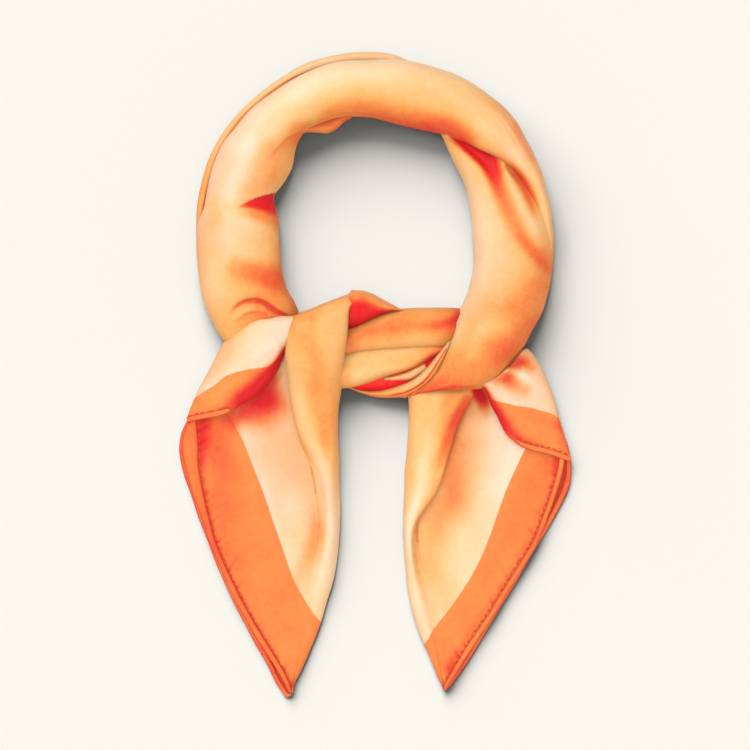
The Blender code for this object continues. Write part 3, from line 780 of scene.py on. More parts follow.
LOOP_LOWER_FOLDS = table(
    "fold x y wide deep red soft",
    # the long crease, painted crimson as shade under the upper stretch and softer on its way down
    (1, 50, 143, 9, 3, 0.6, 0.8), (1, 57.5, 138.5, 10, 4, 0.8, 0.7), (1, 65.5, 131.5, 10, 4.5, 0.85, 0.7),
    (1, 70, 121, 8, 3.8, 0.62, 0.9), (1, 73.5, 110, 8, 3, 0.4, 1), (1, 80, 95.5, 8.5, 2.4, 0.26, 1),
    (1, 85.5, 84.5, 8.5, 2, 0.26, 1), (1, 92, 76, 8, 1.5, 0.26, 1), (1, 99, 69, 8, 1.2, 0.22, 1),
    (1, 104, 63, 7, 0.5, 0.1, 1),
    # the shorter crease beside it, and the ridge between the two, painted gold as a highlight
    (2, 79, 124, 4, 1, 0.15, 0.9), (2, 86, 116.5, 4.5, 1.4, 0.3, 0.9), (2, 90.5, 108.5, 4.5, 1.2, 0.3, 1),
    (2, 94, 100, 4.5, 0.6, 0.2, 1), (2, 96, 93, 4, 0.2, 0.04, 1),
    (3, 76, 125, 3.5, -0.8, 0, 1), (3, 82, 110, 5, -1.4, -0.12, 1), (3, 88, 98, 6, -1.4, -0.14, 1),
    (3, 95, 86, 7, -1, -0.12, 1),
    # the soft seam over the right tail, and the shaded end beside the knot
    (4, 66, -8.5, 2, 0.3, 0.05, 1), (4, 57, -8, 1.8, 0.5, 0.1, 1), (4, 45, -8.4, 1.8, 0.5, 0.1, 1),
    (4, 33, -11, 2, 0.5, 0.1, 1),
    (5, 46, -5, 8, 0.6, 0.08, 1), (5, 36, -6, 8, 0.8, 0.14, 1), (5, 25, -11, 7, 0.8, 0.14, 1),
    # the painted shade, orange, that spreads round the long crease
    (9, 48, 142, 9, 0, 0.1, 1), (9, 60, 131, 12, 0, 0.1, 1), (9, 68, 112, 12, 0, 0.1, 1),
    (9, 77, 94, 12, 0, 0.06, 1),
    # slow hollows down the front
    (6, 70, 66, 10, 0.8, 0.03, 1), (6, 66, 40, 10, 0.8, 0.03, 1),
    (7, 88, 45, 9, 0.3, 0, 1), (7, 84, 28, 9, 0.3, 0, 1),
    (8, 56, 30, 7, 0.5, 0.04, 1), (8, 50, 12, 6, 0.6, 0.06, 1),
)
loop_lower, cut = folded("satin_loop_lower", LOOP_LOWER, 240, 82, LOOP_LOWER_TONES, LOOP_LOWER_FOLDS,
                         field_satin, levels=LEVELS, seed=7, rise=(1.2, 0.8))
lay(["loop_right"])

# ---- The knot's crossing folds: two stretches of the band that cross under the left tail's wrap, the tuck
# that holds them, a sliver of the fold behind it, and the peak that stands up behind the wrap. They are the
# same satin, pulled tight, so their folds are long; their hollows are painted deep red as shade.

CROSS_UPPER = table(
    "outer_x outer_y inner_x inner_y high",
    (-25, 25, -25, 10.5, 15),
    (-15.5, 28, -17, 10, 17),
    (-8, 32, -8, 11.5, 18),
    (2.5, 36.5, 2.5, 13, 19),
    (14.5, 39, 14.5, 14, 19),
    (29.5, 40, 26.5, 14, 18),
    (43, 40.5, 38.5, 14, 17),
    (51.5, 40, 46, 15.5, 14),
    (59, 39.5, 53, 17, 11),
)
CROSS_UPPER_TONES = tenths(
    "row outer second third fourth fifth inner blush_outer blush_inner",
    (0, 4, 6, 6, 6, 6, 4, 0, 0),
    (1, 4, 6, 6, 6, 6, 4, 0, 2),
    (2, 4, 5, 6, 5, 5, 3, 0, 2),
    (3, 4, 5, 6, 5, 4, 3, 0, 0),
    (4, 4, 5, 6, 5, 4, 3, 0, 0),
    (5, 4, 5, 6, 5, 4, 3, 0, 0),
    (6, 5, 6, 7, 6, 5, 3, 0, 0),
    (7, 7, 8, 8, 7, 6, 4, 0, 0),
    (8, 8, 9, 9, 8, 7, 5, 0, 0),
)
CROSS_UPPER_FOLDS = table(
    "fold x y wide deep red",
    (1, -14, 17, 6, 0.8, 0.04), (1, 4, 22, 7, 0.8, 0.02), (1, 24, 27, 7, 0.9, 0.02), (1, 40, 30, 6, 1.4, 0.08),
    (1, 52, 34, 6, 1.6, 0.12),
    (2, -12, 27, 4, 0.4, 0.03), (2, 6, 32, 4, 0.5, 0.03), (2, 24, 36, 4, 0.4, 0.03),
    (3, -17, 20, 5, 0.6, 0.03), (3, -13, 14, 5, 0.4, 0.03),
)
cross_upper, cut = folded("satin_cross_upper", CROSS_UPPER, 95, 54, CROSS_UPPER_TONES, CROSS_UPPER_FOLDS,
                          field_satin, levels=(4, 7.5, 11), seed=11, edges=(2.5, 1.5))
lay(["knot_cross_upper"], rests_on="satin_knot_inside")

CROSS_LOWER = table(
    "outer_x outer_y inner_x inner_y high outer_seat inner_seat",
    (-25, 12, -25.5, -8, 14.5, 2, 1),
    (-17.5, 13.5, -19, -8, 15, 4, 2),
    (-11.5, 15, -11.5, -7, 16, 6, 4),
    (-3.5, 16.5, -2.5, -5, 16.5, 6, 5),
    (5.5, 17.5, 7, -2, 16.5, 6, 5),
    (16, 18, 16.5, 1, 16, 6, 5.5),
    (26.5, 18, 25.5, 5, 15.5, 6, 6),
    (34.5, 17.5, 32.5, 9, 15, 6, 6),
    (40, 16.5, 39.5, 12.5, 14, 6, 6),
    (44, 15.5, 43.5, 13.5, 11, 6, 6),
)
CROSS_LOWER_TONES = tenths(
    "row outer second third fourth fifth inner blush_outer blush_inner",
    (0, 4, 5, 5, 5, 5, 5, 0, 2),
    (1, 4, 4, 5, 5, 5, 4, 0, 2),
    (2, 4, 4, 4, 3, 3, 4, 0, 0),
    (3, 4, 4, 3, 3, 3, 5, 0, 0),
    (5, 4, 4, 4, 4, 4, 6, 0, 0),
    (6, 4, 5, 5, 5, 6, 7, 0, 0),
    (7, 5, 6, 6, 7, 8, 7, 0, 0),
    (9, 7, 7, 8, 8, 8, 7, 0, 0),
)
CROSS_LOWER_FOLDS = table(
    "fold x y wide deep red",
    (1, -12, 4, 5, 0.5, 0.02), (1, 4, 8, 6, 0.7, 0.04), (1, 20, 9, 5, 0.6, 0.06),
)
cross_lower, cut = folded("satin_cross_lower", CROSS_LOWER, 88, 48, CROSS_LOWER_TONES, CROSS_LOWER_FOLDS,
                          field_satin, seed=12, edges=(1.5, 1.2))
lay(["knot_cross_lower"], rests_on="satin_knot_inside")

TUCK = table(
    "outer_x outer_y inner_x inner_y high outer_seat inner_seat",
    (44, 22, 46.5, 19, 12, 5, 5),
    (42, 18, 44, 14.5, 16, 6, 6),
    (37.5, 12.5, 41, 8, 18.5, 7, 7),
    (31, 4.5, 36.5, -0.5, 18.5, 7, 6),
    (22, -3, 29.5, -8, 15, 5, 3),
    (13, -7, 21.5, -13, 11.5, 3, 1),
    (4, -9.5, 12.5, -14, 9, 2, 0.6),
    (-3.5, -10, 2.5, -14, 7, 1, 0.6),
    (-10.5, -9, -7.5, -11.5, 6, 1, 0.6),
    (-17, -6.5, -17, -8, 5, 1, 0.6),
)
TUCK_TONES = tenths(
    "row outer second third fourth fifth inner blush_outer blush_inner",
    (0, 4, 4, 4, 5, 5, 4, 3, 0),
    (2, 3, 3, 4, 5, 5, 4, 5, 0),
    (3, 3, 3, 4, 5, 5, 4, 5, 0),
    (5, 3, 4, 4, 5, 5, 4, 3, 0),
    (7, 4, 5, 5, 6, 5, 4, 0, 0),
    (9, 5, 5, 6, 6, 6, 4, 0, 0),
)
TUCK_FOLDS = table(
    "fold x y wide deep red soft",
    (1, 42.5, 15, 0.8, 0.5, 0.2, 0.9), (1, 38.5, 9.5, 1, 0.9, 0.3, 0.9), (1, 29.5, -4, 1.1, 1, 0.3, 0.9),
    (1, 19, -10.5, 1, 0.8, 0.3, 0.9), (1, 10, -12.8, 0.8, 0.5, 0.2, 0.9),
)
tuck, cut = folded("satin_tuck", TUCK, 105, 42, TUCK_TONES, TUCK_FOLDS, field_satin, wave=0.1, seed=13,
                   edges=(1.2, 1.2))
lay(["knot_tuck"], rests_on="satin_knot_inside")

SLIVER = table(
    "outer_x outer_y inner_x inner_y high outer_seat inner_seat",
    (5, -1.5, 5.5, -3.5, 9, 4, 4),
    (11.5, -0.5, 13, -3.5, 12, 6, 6),
    (18.5, 1.5, 20, -3, 13.5, 7, 7),
    (23.5, 4, 25, -1, 14, 7, 7),
    (29, 7, 31, 2.5, 13, 7, 7),
)
SLIVER_TONES = tenths(
    "row outer middle inner blush_outer blush_inner",
    (0, 5, 4, 3, 4, 6),
    (2, 5, 4, 3, 4, 6),
    (4, 5, 4, 4, 3, 4),
)
sliver, cut = folded("satin_sliver", SLIVER, 44, 22, SLIVER_TONES, NO_FOLDS, field_satin, wave=0.05, seed=14,
                     edges=(0.8, 0.8))
lay([], rests_on="satin_knot_inside")

PEAK = table(
    "outer_x outer_y inner_x inner_y high inner_seat",
    (-23, 35, -23, 26.5, 6, 0),
    (-15.5, 49.2, -18, 27, 18, 0),
    (-11.8, 50.3, -15.5, 26.5, 21, 0),
    (-7.5, 50.2, -10.5, 27.5, 22, 0),
    (-2, 48.4, -4, 31, 21, 0),
    (4, 45.2, 2.5, 34.5, 19, 0),
    (10, 42, 9.5, 37, 16, 0),
    (15.5, 39.2, 14.5, 37.5, 12, 0),
    (20, 38.2, 20, 37, 9, 0),
)
PEAK_TONES = tenths(
    "row outer second third fourth fifth inner blush_outer blush_inner",
    (0, 4, 6, 10, 10, 10, 10, 0, 0),
    (2, 4, 6, 10, 10, 10, 10, 0, 0),
    (3, 4, 6, 10, 10, 10, 10, 0, 0),
    (4, 5, 5, 8, 10, 10, 10, 0, 0),
    (5, 5, 5, 6, 8, 10, 10, 0, 0),
    (6, 5, 5, 5, 6, 7, 8, 0, 0),
    (8, 5, 5, 5, 5, 6, 6, 0, 0),
)
PEAK_FOLDS = table(
    "fold x y wide deep red",
    (1, -11.5, 44, 2.5, 0.5, 0), (1, -11.5, 38, 6, 2.5, 0), (1, -12, 28, 9, 3.5, 0),
)
peak, cut = folded("satin_peak", PEAK, 84, 50, PEAK_TONES, PEAK_FOLDS, field_satin, wave=0.1, seed=15,
                   edges=(1.8, 2), rise=(0.6, 0.9))
lay(["knot_peak"])

# The turns inside the knot, which show only in the gap between its folds. Their deep red tone is painted
# shade, and their satin's strong emission is painted light, so the gap reads red. In mm, but for the tone.
INSIDE = {"x": 5.0, "y": 8.0, "half_length": 52.0, "half_width": 18.0, "high": 9.0, "tone": 0.95, "ridges": 0.3}


def dome(place, around=72, up=16):
    """An oval dome: its height is a quarter turn's sine and its width that turn's cosine, rounded off to a
    closed top and a lip that turns in at its foot. Shallow ridges run across it as a sine wave."""
    turn = np.linspace(0, 2 * np.pi, around + 1)[:, None]
    climb = np.linspace(-0.35, 0.5 * np.pi, up)
    wide = np.maximum(np.cos(climb), 1e-3)
    high = place["high"] * (0.06 + 0.94 * np.maximum(np.sin(climb), -0.05))
    points = np.stack(np.broadcast_arrays(
        place["x"] + place["half_length"] * wide * np.cos(turn),
        place["y"] + place["half_width"] * wide * np.sin(turn),
        high + 0 * turn,
    ), -1)
    share = np.clip(points[..., 2] / place["high"], 0, 1)
    points[..., 2] += place["ridges"] * np.sin(points[..., 0] * 0.5) * share
    return points


# painted shade and painted light: deep red satin with a strong emission, seen only in the knot's gap
inside_satin = satin("satin_inside_painted_shade_and_light", painted_glow=0.8)
inside, _ = cloth("satin_knot_inside", dome(INSIDE), INSIDE["tone"], 0.0, 0.0, inside_satin)
lay(["knot_core"])

# ---- The left tail: one corner of the square. Its front layer wraps up over the knot, comes down as a soft
# roll and lies open beside it, as one piece of cloth, so the roll hangs over the open part along a line that
# fades out below. The plain orange border and the rolled hem run round the corner.

TAIL_LEFT_FRONT = table(
    "hem_x hem_y line_x line_y right_x right_y high left_seat right_seat panel",
    (-52.2, 33.7, -51.7, 34.7, -12.8, 49.3, 1.5, 0.3, 0.3, 0.3),
    (-52, 33, -51.5, 34, -12.6, 48.8, 18, 9, 0.6, 7),
    (-53, 29.5, -52, 31, -13.4, 43.4, 23, 14, 16, 12.5),
    (-54.5, 23.5, -53, 26, -15.5, 38, 26, 14, 16, 12.5),
    (-55.5, 16.5, -53.5, 19, -16.5, 28, 28, 13, 16, 12),
    (-58.5, 10, -54, 11.5, -17.5, 17.5, 28, 11.5, 15, 10.5),
    (-64.5, 1.5, -53.5, 4.5, -18.5, 7.5, 26, 9, 12, 8),
    (-75.5, -8, -52.5, -3.5, -19.5, -2, 22, 6.5, 6, 5.5),
    (-92, -17.5, -51.5, -11.5, -20.5, -11, 18, 3.5, 1, 3.5),
    (-109.5, -27, -50, -20.5, -22, -20, 15.5, 3, 0, 3),
    (-114.5, -39.5, -48, -29.5, -22.5, -29.5, 14, 3, 0, 3),
    (-115, -51.5, -45.5, -40, -22.5, -40.5, 13, 3, 0, 3.6),
    (-112.5, -63.5, -41.5, -52, -22, -52.5, 12, 3, 0, 4.2),
    (-108, -77, -38, -64.5, -21.5, -65.5, 11, 3, 0, 4.8),
    (-103, -91, -35.5, -78.5, -21, -79.5, 10, 3, 0, 4.8),
    (-97.5, -104.5, -35, -92.5, -21, -92.5, 9.5, 3.2, 0, 4.6),
    (-91, -119, -36.5, -105.5, -22, -106.5, 8.5, 3.5, 0, 4.4),
    (-83.5, -134, -39.5, -117.5, -24.5, -119.5, 7.8, 4, 0, 4.2),
    (-76, -148, -42.5, -130, -28.5, -134, 6.4, 4.3, 0, 4),
    (-68.5, -160.5, -44.5, -143, -33, -149, 5.4, 4.3, 0, 3.8),
    (-61.5, -172, -46.5, -157, -38.5, -163.5, 4.6, 3.9, 0, 3.5),
    (-56, -182, -48, -170.5, -44.5, -177.5, 4.4, 3.5, 0, 3.2),
    (-53, -188.5, -49.5, -182.5, -48.5, -185.5, 3.8, 3.2, 0, 3),
    (-51, -191.5, -50.5, -190, -50, -191, 3.2, 2.8, 0, 2.8),
)
TAIL_LEFT_BORDER = table(
    "x y",
    (-95.5, -10.5), (-88.5, -23), (-84.5, -30.5), (-79.5, -39.5), (-73.5, -54.5), (-67.5, -70), (-61.5, -87.5),
    (-55.5, -104.5), (-49.5, -122), (-44.5, -131.5), (-40, -139), (-33.5, -147.5), (-25, -157),
)

# How high the open part lies at its hem, its lap under the roll, that lap's fold, the gap over it and the
# cloth's slow waves, mm, and the places between which its blush turns
OPEN = {"hem": 2.6, "lap": 3.0, "fold": 0.85, "gap": 0.9, "wave": 0.22, "turns": (0.4, 0.55)}
# The roll's far edge, mm, and the powers that its height follows: lapped, running in, and on its far side
ROLL = {"edge": 2.0, "lapped": 0.75, "run_in": 2.2, "far": 0.8}
# The lap's way back up to the line, in shares of its width, and how high it is, mm
TURNED_BACK = table("across rise", (1.12, 0.25), (1.14, 0.55), (1, 0.85), (0.5, 0.95), (0.2, 1.1), (0.04, 1.6))


def fronted(rail, count, panel, top, fades):
    """A tail's front layer between its hem and its right side, as (points, row numbers, places across). From
    the hem it lies open as far as its line, goes on for the lap under the roll, turns back up to the line, and
    then goes over the roll's crown and under its far side. The lap fades out between two rows of the rail, and
    there the open part runs straight up into the roll."""
    rows = even_rows(rail, count, "line", "right")
    read = {name: column[:, None] for name, column in rows_of(rail, rows).items()}
    hem, line, right = (side(read, name) for name in ("hem", "line", "right"))
    width = np.linalg.norm(right - line, axis=-1)
    lapped = 1 - eased((rows[:, None] - fades[0]) / (fades[1] - fades[0]))
    under = np.minimum(OPEN["lap"] * lapped + 0.4, ROUND * width)
    corner = np.minimum(ROLL["edge"], ROUND * width)
    seat = np.maximum(read["left_seat"], read["panel"] + OPEN["gap"])
    open_share = np.linspace(0, 1, panel)
    lap_share = np.array([0.3, 0.7, 1.0])
    back = len(TURNED_BACK["rise"])
    turn = np.linspace(0, np.pi, top)
    over = crown(top, (1, 1))[0] * lapped + turn / np.pi * (1 - lapped)
    power = np.where(turn < np.pi / 2, ROLL["lapped"] * lapped + ROLL["run_in"] * (1 - lapped), ROLL["far"])
    down = np.linspace(np.pi / 2, 0, BEND)[1:]
    below = np.linspace(0, 1, 9)[1:]
    left_base = read["panel"] + lapped * (seat + 1.0 - read["panel"])
    right_base = read["right_seat"] + corner
    base = left_base + (right_base - left_base) * over
    climb = np.clip(TURNED_BACK["rise"] - OPEN["fold"], 0, 1) / 0.75
    climbed = climb * (seat + OPEN["gap"] - read["panel"] - OPEN["fold"])
    turned_back = lapped * TURNED_BACK["across"] + (1 - lapped) * (1 + np.arange(1, back + 1) / 10)
    begun = 1.7 * under * (1 - lapped)
    run = np.concatenate([
        under * lap_share, under * turned_back, begun + (width - begun) * over,
        width - corner * (1 - np.sin(down)), width - corner - 0.5 * width * below,
    ], axis=1)
    high = np.concatenate([
        OPEN["hem"] + (read["panel"] - OPEN["hem"]) * open_share,
        read["panel"] + 0 * lap_share,
        read["panel"] + lapped * (np.minimum(TURNED_BACK["rise"], OPEN["fold"]) + climbed),
        base + (read["high"] - base) * np.sin(turn) ** power,
        read["right_seat"] + corner * (1 - np.cos(down)),
        read["right_seat"] + 0.2 * below,
    ], axis=1)
    opened = hem + (line - hem) * open_share[:, None]
    rolled = line + (right - line) / width[..., None] * run[..., None]
    points = np.concatenate([np.concatenate([opened, rolled], axis=1), high[..., None]], -1)
    # the tones' places: five steps of eleven to the line, one round the lap and five over the roll
    places = [5 / 11 * open_share, np.full(len(lap_share), 5 / 11), np.linspace(5, 6, back) / 11,
              6 / 11 + 5 / 11 * over, np.ones(len(down) + len(below))]
    return points, rows, np.concatenate([np.broadcast_to(p, (count, p.shape[-1])) for p in places], axis=1)


def past(points, border, which):
    """How far each point lies past the border's line, in mm, on its left (1) or right (-1)."""
    plan = points[..., :2].reshape(-1, 2)
    at = np.linspace(0, len(border["x"]) - 1, 6 * len(border["x"]))
    line = rows_of(border, at)
    away, left, _ = nearest(plan, np.stack([line["x"], line["y"]], -1))
    return (away * left * which).reshape(points.shape[:2])


TAIL_LEFT_TONES = tenths(
    "row hem open_1 open_2 open_3 open_4 line roll over_1 over_2 over_3 over_4 right blush_outer blush_inner",
    (0, 5, 5, 5, 5, 5, 5, 5, 5, 4, 4, 4, 3, 6, 0),
    (2, 5, 5, 5, 5, 5, 5, 5, 5, 5, 4, 4, 4, 6, 0),
    (4, 5, 5, 5, 5, 4, 4, 3, 5, 5, 4, 4, 3, 6, 0),
    (6, 4, 4, 4, 4, 3, 3, 3, 4, 5, 5, 4, 4, 8, 0),
    (8, 3, 3, 3, 3, 2, 4, 3, 3, 5, 5, 5, 4, 10, 0),
    (10, 3, 3, 3, 2, 3, 4, 4, 3, 4, 5, 5, 4, 10, 0),
    (11, 2, 2, 2, 2, 4, 4, 4, 3, 3, 5, 5, 4, 10, 0),
    (12, 2, 2, 2, 2, 4, 4, 4, 2, 2, 3, 4, 4, 10, 2),
    (13, 2, 2, 1, 1, 3, 4, 4, 2, 2, 2, 3, 3, 9, 4),
    (14, 2, 2, 1, 1, 2, 4, 5, 3, 2, 2, 2, 2, 8, 5),
    (15, 2, 2, 1, 1, 2, 4, 5, 4, 2, 1, 1, 2, 5, 5),
    (16, 2, 2, 1, 1, 2, 4, 4, 3, 1, 1, 1, 1, 4, 3),
    (17, 2, 2, 1, 1, 2, 3, 3, 2, 1, 1, 1, 1, 5, 2),
    (19, 2, 2, 2, 2, 2, 2, 2, 2, 2, 2, 2, 2, 7, 3),
    (23, 2, 2, 2, 2, 2, 2, 2, 2, 2, 2, 2, 2, 7, 9),
)
TAIL_LEFT_FOLDS = table(
    "fold x y wide deep red",
    # the shadowed hollow under the turned-over flap
    (1, -57, 0, 4, 0.4, 0.25), (1, -65, -11, 20, 1.2, 0.68), (1, -72, -20, 25, 1.4, 0.68),
    (1, -82, -26, 14, 0.6, 0.35),
    (2, -60, -16, 12, 0.4, 0.2), (2, -55, -20, 9, 0.3, 0.1),
    # painted shadow, red, in the border beside the wide part of the hem
    (3, -103.5, -27, 9, 0.3, 0.5), (3, -104.5, -38, 9, 0.4, 0.4), (3, -104.5, -52, 4, 0.3, 0.35),
    (3, -102.5, -66, 3, 0.2, 0.2), (3, -96, -95, 2.5, 0.1, 0.15), (3, -80, -134, 2.5, 0.1, 0.15),
    (3, -60, -169, 2.5, 0.1, 0.2),
    (11, -55, -178, 4, 0.2, 0.2), (11, -51, -186, 4, 0.2, 0.4),
    (4, -88, -22, 16, 0.2, 0.22), (4, -96, -38, 18, 0.2, 0.3), (4, -92, -60, 18, 0, 0.25),
    (4, -84, -90, 18, 0, 0.16), (4, -74, -118, 16, 0, 0.04), (4, -60, -160, 14, 0, 0),
    # slow hollows and ridges down the open part
    (5, -72, -40, 9, 0.6, 0.04), (5, -60, -72, 10, 0.9, 0.08), (5, -52, -98, 9, 0.5, 0.04),
    (6, -90, -60, 9, -0.6, -0.04), (6, -78, -95, 9, -0.7, -0.04), (6, -62, -135, 8, -0.5, 0),
    (7, -98, -75, 7, 0.5, 0.08), (7, -86, -108, 8, 0.6, 0.08), (7, -72, -138, 7, 0.5, 0.06),
    # the hollow that the roll fades into
    (8, -37, -80, 4, 0.3, 0.05), (8, -36, -93, 6, 1.2, 0.16), (8, -39.5, -107, 7, 1.2, 0.16),
    (8, -45, -120, 7, 0.8, 0.1), (8, -50, -131, 6, 0.3, 0.04),
    # soft hollows down the wrap and the roll
    (9, -38, 34, 5, 0.4, 0.03), (9, -35, 14, 6, 0.7, 0.04), (9, -33, -12, 6, 0.9, 0.04),
    (9, -31, -34, 5, 0.8, 0.04), (9, -28, -52, 4, 0.3, 0.02),
    (10, -50, 28, 4, 0.4, 0.06), (10, -51.5, 16, 3, 0.2, 0.02),
)

# The line of the hem's stitches, on the cloth.
TAIL_LEFT_SEAM = table(
    "x y",
    (-106.2, -27), (-105.8, -39.5), (-105.2, -54.5), (-102.8, -69), (-99.5, -84), (-95.2, -100), (-88.6, -116),
    (-81.6, -130.8), (-73.9, -145.2), (-66.1, -158.5), (-58.8, -170.2), (-53.7, -179.3), (-51.2, -186.2),
)
PUCKER = {"deep": 0.14, "red": 0.08, "reach": 8.0, "lean": 0.6, "lengths": (4.3, 6.1, 9.7)}  # mm


def puckered(points, seam, seed):
    """Small wrinkles where the stitches gather the cloth, and their redness, painted shade in their hollows:
    the sum of three sine waves along the seam. They lean, and die away over the reach, which is longer in some
    places than in others."""
    at = np.linspace(0, len(seam["x"]) - 1, 8 * len(seam["x"]))
    path = np.stack([rows_of(seam, at)[name] for name in ("x", "y")], -1)
    away, _, place = nearest(points[..., :2].reshape(-1, 2), path)
    along = np.interp(place, np.arange(len(at)), run_along(path)) + PUCKER["lean"] * away
    reach = PUCKER["reach"] * (0.55 + 0.45 * np.sin(along / 9 + seed) * np.sin(along / 23))
    waves = sum(np.sin(2 * np.pi * along / length + seed * length) for length in PUCKER["lengths"])
    waves = (waves * np.exp(-((away / reach) ** 2))).reshape(points.shape[:2])
    return points - waves[..., None] * np.array((0, 0, PUCKER["deep"])), PUCKER["red"] * np.maximum(waves, 0)


border_satin = satin("ombre_satin_with_border_and_painted_light", border=True)


def open_layer(name, rail, size, fades, tones, folds, seam, border, seeds):
    """A tail's front layer, with its folds and then its stitches' puckers pressed in, its tones and border."""
    points, rows, places = fronted(rail, *size, fades)
    points, red = pressed(points, folds, OPEN["wave"], seeds[0])
    points, gathered = puckered(points, seam, seeds[1])
    tone, blush = toned(tones, rows, places, turns=OPEN["turns"])
    return cloth(name, points, tone, blush, red + gathered, border_satin, past(points, *border))


TAIL_LEFT_BACK = table(
    "outer_x outer_y inner_x inner_y",
    (-112.6, -26.5, -57.5, -10.5), (-116.6, -35.5, -53, -20), (-117.7, -46, -49.5, -31),
    (-115, -59.5, -46, -44), (-110.5, -72.5, -41.5, -57.5), (-106, -86, -37.5, -71.5),
    (-100.5, -100.5, -35, -86), (-95, -115, -35, -100), (-88, -130.5, -37, -114.5),
    (-80.5, -145.5, -40.5, -128.5), (-73, -160, -43.5, -143), (-65.5, -173, -45.5, -158),
    (-60.5, -183.5, -47, -171.5), (-56.7, -189.5, -47.5, -182), (-53.9, -193.3, -49.6, -190.6),
)
# The back layer's redness is painted shade: it shows only in the gaps under the front layer.
BACK = {"seat": 0.7, "wave": 0.15, "tone": 0.3, "blush": 0.6, "red": 0.4, "rows": 120, "columns": 40}


def back_layer(name, rail, border, seed):
    """A tail's back layer: a sheet between its two sides that lies on the table, with slow waves."""
    read = {label: column[:, None] for label, column in
            rows_of(rail, even_rows(rail, BACK["rows"], "outer", "inner")).items()}
    outer, inner = side(read, "outer"), side(read, "inner")
    plan = outer + (inner - outer) * np.linspace(0, 1, BACK["columns"])[:, None]
    points = np.concatenate([plan, np.full((*plan.shape[:2], 1), BACK["seat"])], -1)
    points[..., 2] += ripple(points, BACK["wave"], seed)
    points[..., 2] = np.maximum(points[..., 2], WALL)
    return cloth(name, points, BACK["tone"], BACK["blush"], BACK["red"], border_satin, past(points, *border))


# The flap: the hem's end of the same corner, turned over the open part from under the wrap. It is the satin's
# other face, with the cream field above and the border along its hem.
FLAP_LEFT = table(
    "outer_x outer_y inner_x inner_y high outer_seat inner_seat",
    (-47.5, 35, -45, 23.5, 20, 9, 13),
    (-53.5, 35, -51.5, 17, 21, 10, 12),
    (-59.5, 35, -55, 10, 20.5, 9, 9.4),
    (-66.5, 35, -58.8, 1.5, 20, 9, 6.4),
    (-73, 35, -63.5, -5.5, 19.5, 8, 5.2),
    (-79.5, 32.5, -69.5, -11, 18, 6, 4.8),
    (-85, 27.5, -76, -15.5, 15.5, 4, 4.4),
    (-89.5, 21.5, -82, -19, 12.5, 1.5, 4.2),
    (-94.5, 13, -88.5, -23, 10, 0.4, 4.1),
    (-100, 2, -95.5, -25, 8.2, 0.3, 4.3),
    (-106, -8.5, -102.5, -26.5, 7, 0.3, 4.1),
    (-110.5, -18.5, -107.5, -27.6, 6, 0.3, 4),
    (-113, -25.5, -112, -28.6, 5.3, 0.3, 3.8),
)
FLAP_LEFT_BORDER = table(
    "x y",
    (-113.5, -18.5), (-107.5, -13.5), (-102.5, -10), (-96.5, -6.5), (-90.5, -1.5), (-84.5, 1), (-78.5, 2.5),
    (-72.5, 3.5), (-67, 4.2), (-63, 5.6), (-59.5, 8.7), (-57, 12), (-54.5, 16), (-51, 21),
)
FLAP_LEFT_TONES = tenths(
    "row outer second third fourth fifth inner blush_outer blush_inner",
    (0, 2, 1, 1, 2, 2, 3, 10, 10),
    (2, 2, 1, 1, 1, 2, 3, 10, 10),
    (4, 3, 1, 1, 1, 1, 2, 4, 10),
    (6, 4, 2, 1, 1, 1, 2, 3, 6),
    (8, 3, 3, 2, 1, 1, 2, 8, 6),
    (10, 3, 2, 2, 2, 2, 2, 10, 10),
    (12, 3, 2, 2, 2, 2, 2, 10, 10),
)
FLAP_LEFT_FOLDS = table(
    "fold x y wide deep red",
    # painted shade: crimson along the fold beside the wrap, with fine creases in it, and gold towards the
    # corner
    (1, -54, 14, 4, 0.3, 0.7), (1, -58, 6, 6, 0.6, 0.85), (1, -64, -3, 11, 0.4, 0.9),
    (1, -72, -11, 13, 0.5, 0.9), (1, -81, -16, 11, 0.3, 0.65), (1, -90, -21, 7, 0.2, 0.25),
    (2, -62, 1.5, 0.7, 0.25, 0.1), (2, -68, -4.5, 0.8, 0.3, 0.1), (2, -73, -10, 0.7, 0.25, 0.1),
    (3, -65, -1.5, 0.8, -0.3, -0.15), (3, -70, -8.5, 0.8, -0.3, -0.15), (3, -74, -13, 0.7, -0.2, -0.1),
    (4, -96, -12, 12, 0, -0.2), (4, -84, -3, 9, 0, -0.15),
    # soft ridges and hollows across the field
    (5, -60, 18, 5, -0.7, -0.03), (5, -74, 10, 6, -0.8, -0.04), (5, -90, 2, 6, -0.3, 0),
    (6, -62, 27, 5, 0.5, 0.04), (6, -78, 22, 6, 0.5, 0.04), (6, -92, 8, 5, 0.2, 0.03),
)
FLAP = {"wave": 0.15, "rise": (0.8, 1.25), "edges": (2.2, 0.7), "tuck": 0.45}  # as in pressed() and band()

# The hems: the cloth's edge, rolled over twice and sewn down by hand, so each is a narrow raised strip with a
# row of stitches along its inner side.
HEM = {"wave": 0.1, "tone": 0.5, "past_border": 5.0, "wall": 0.3, "steps": 12}
STITCH = {"long": 3.2, "wide": 0.75, "high": 0.45, "every": 3.7, "lean": 15.0}


def topmost(x, y, cloth_points, within=1.5):
    """The cloth's greatest height within so many mm of each place."""
    away = cloth_points[..., :2].reshape(-1, 1, 2) - np.stack([x, y], -1)
    return np.where((away**2).sum(-1) < within**2, cloth_points[..., 2].reshape(-1, 1), 0).max(axis=0)


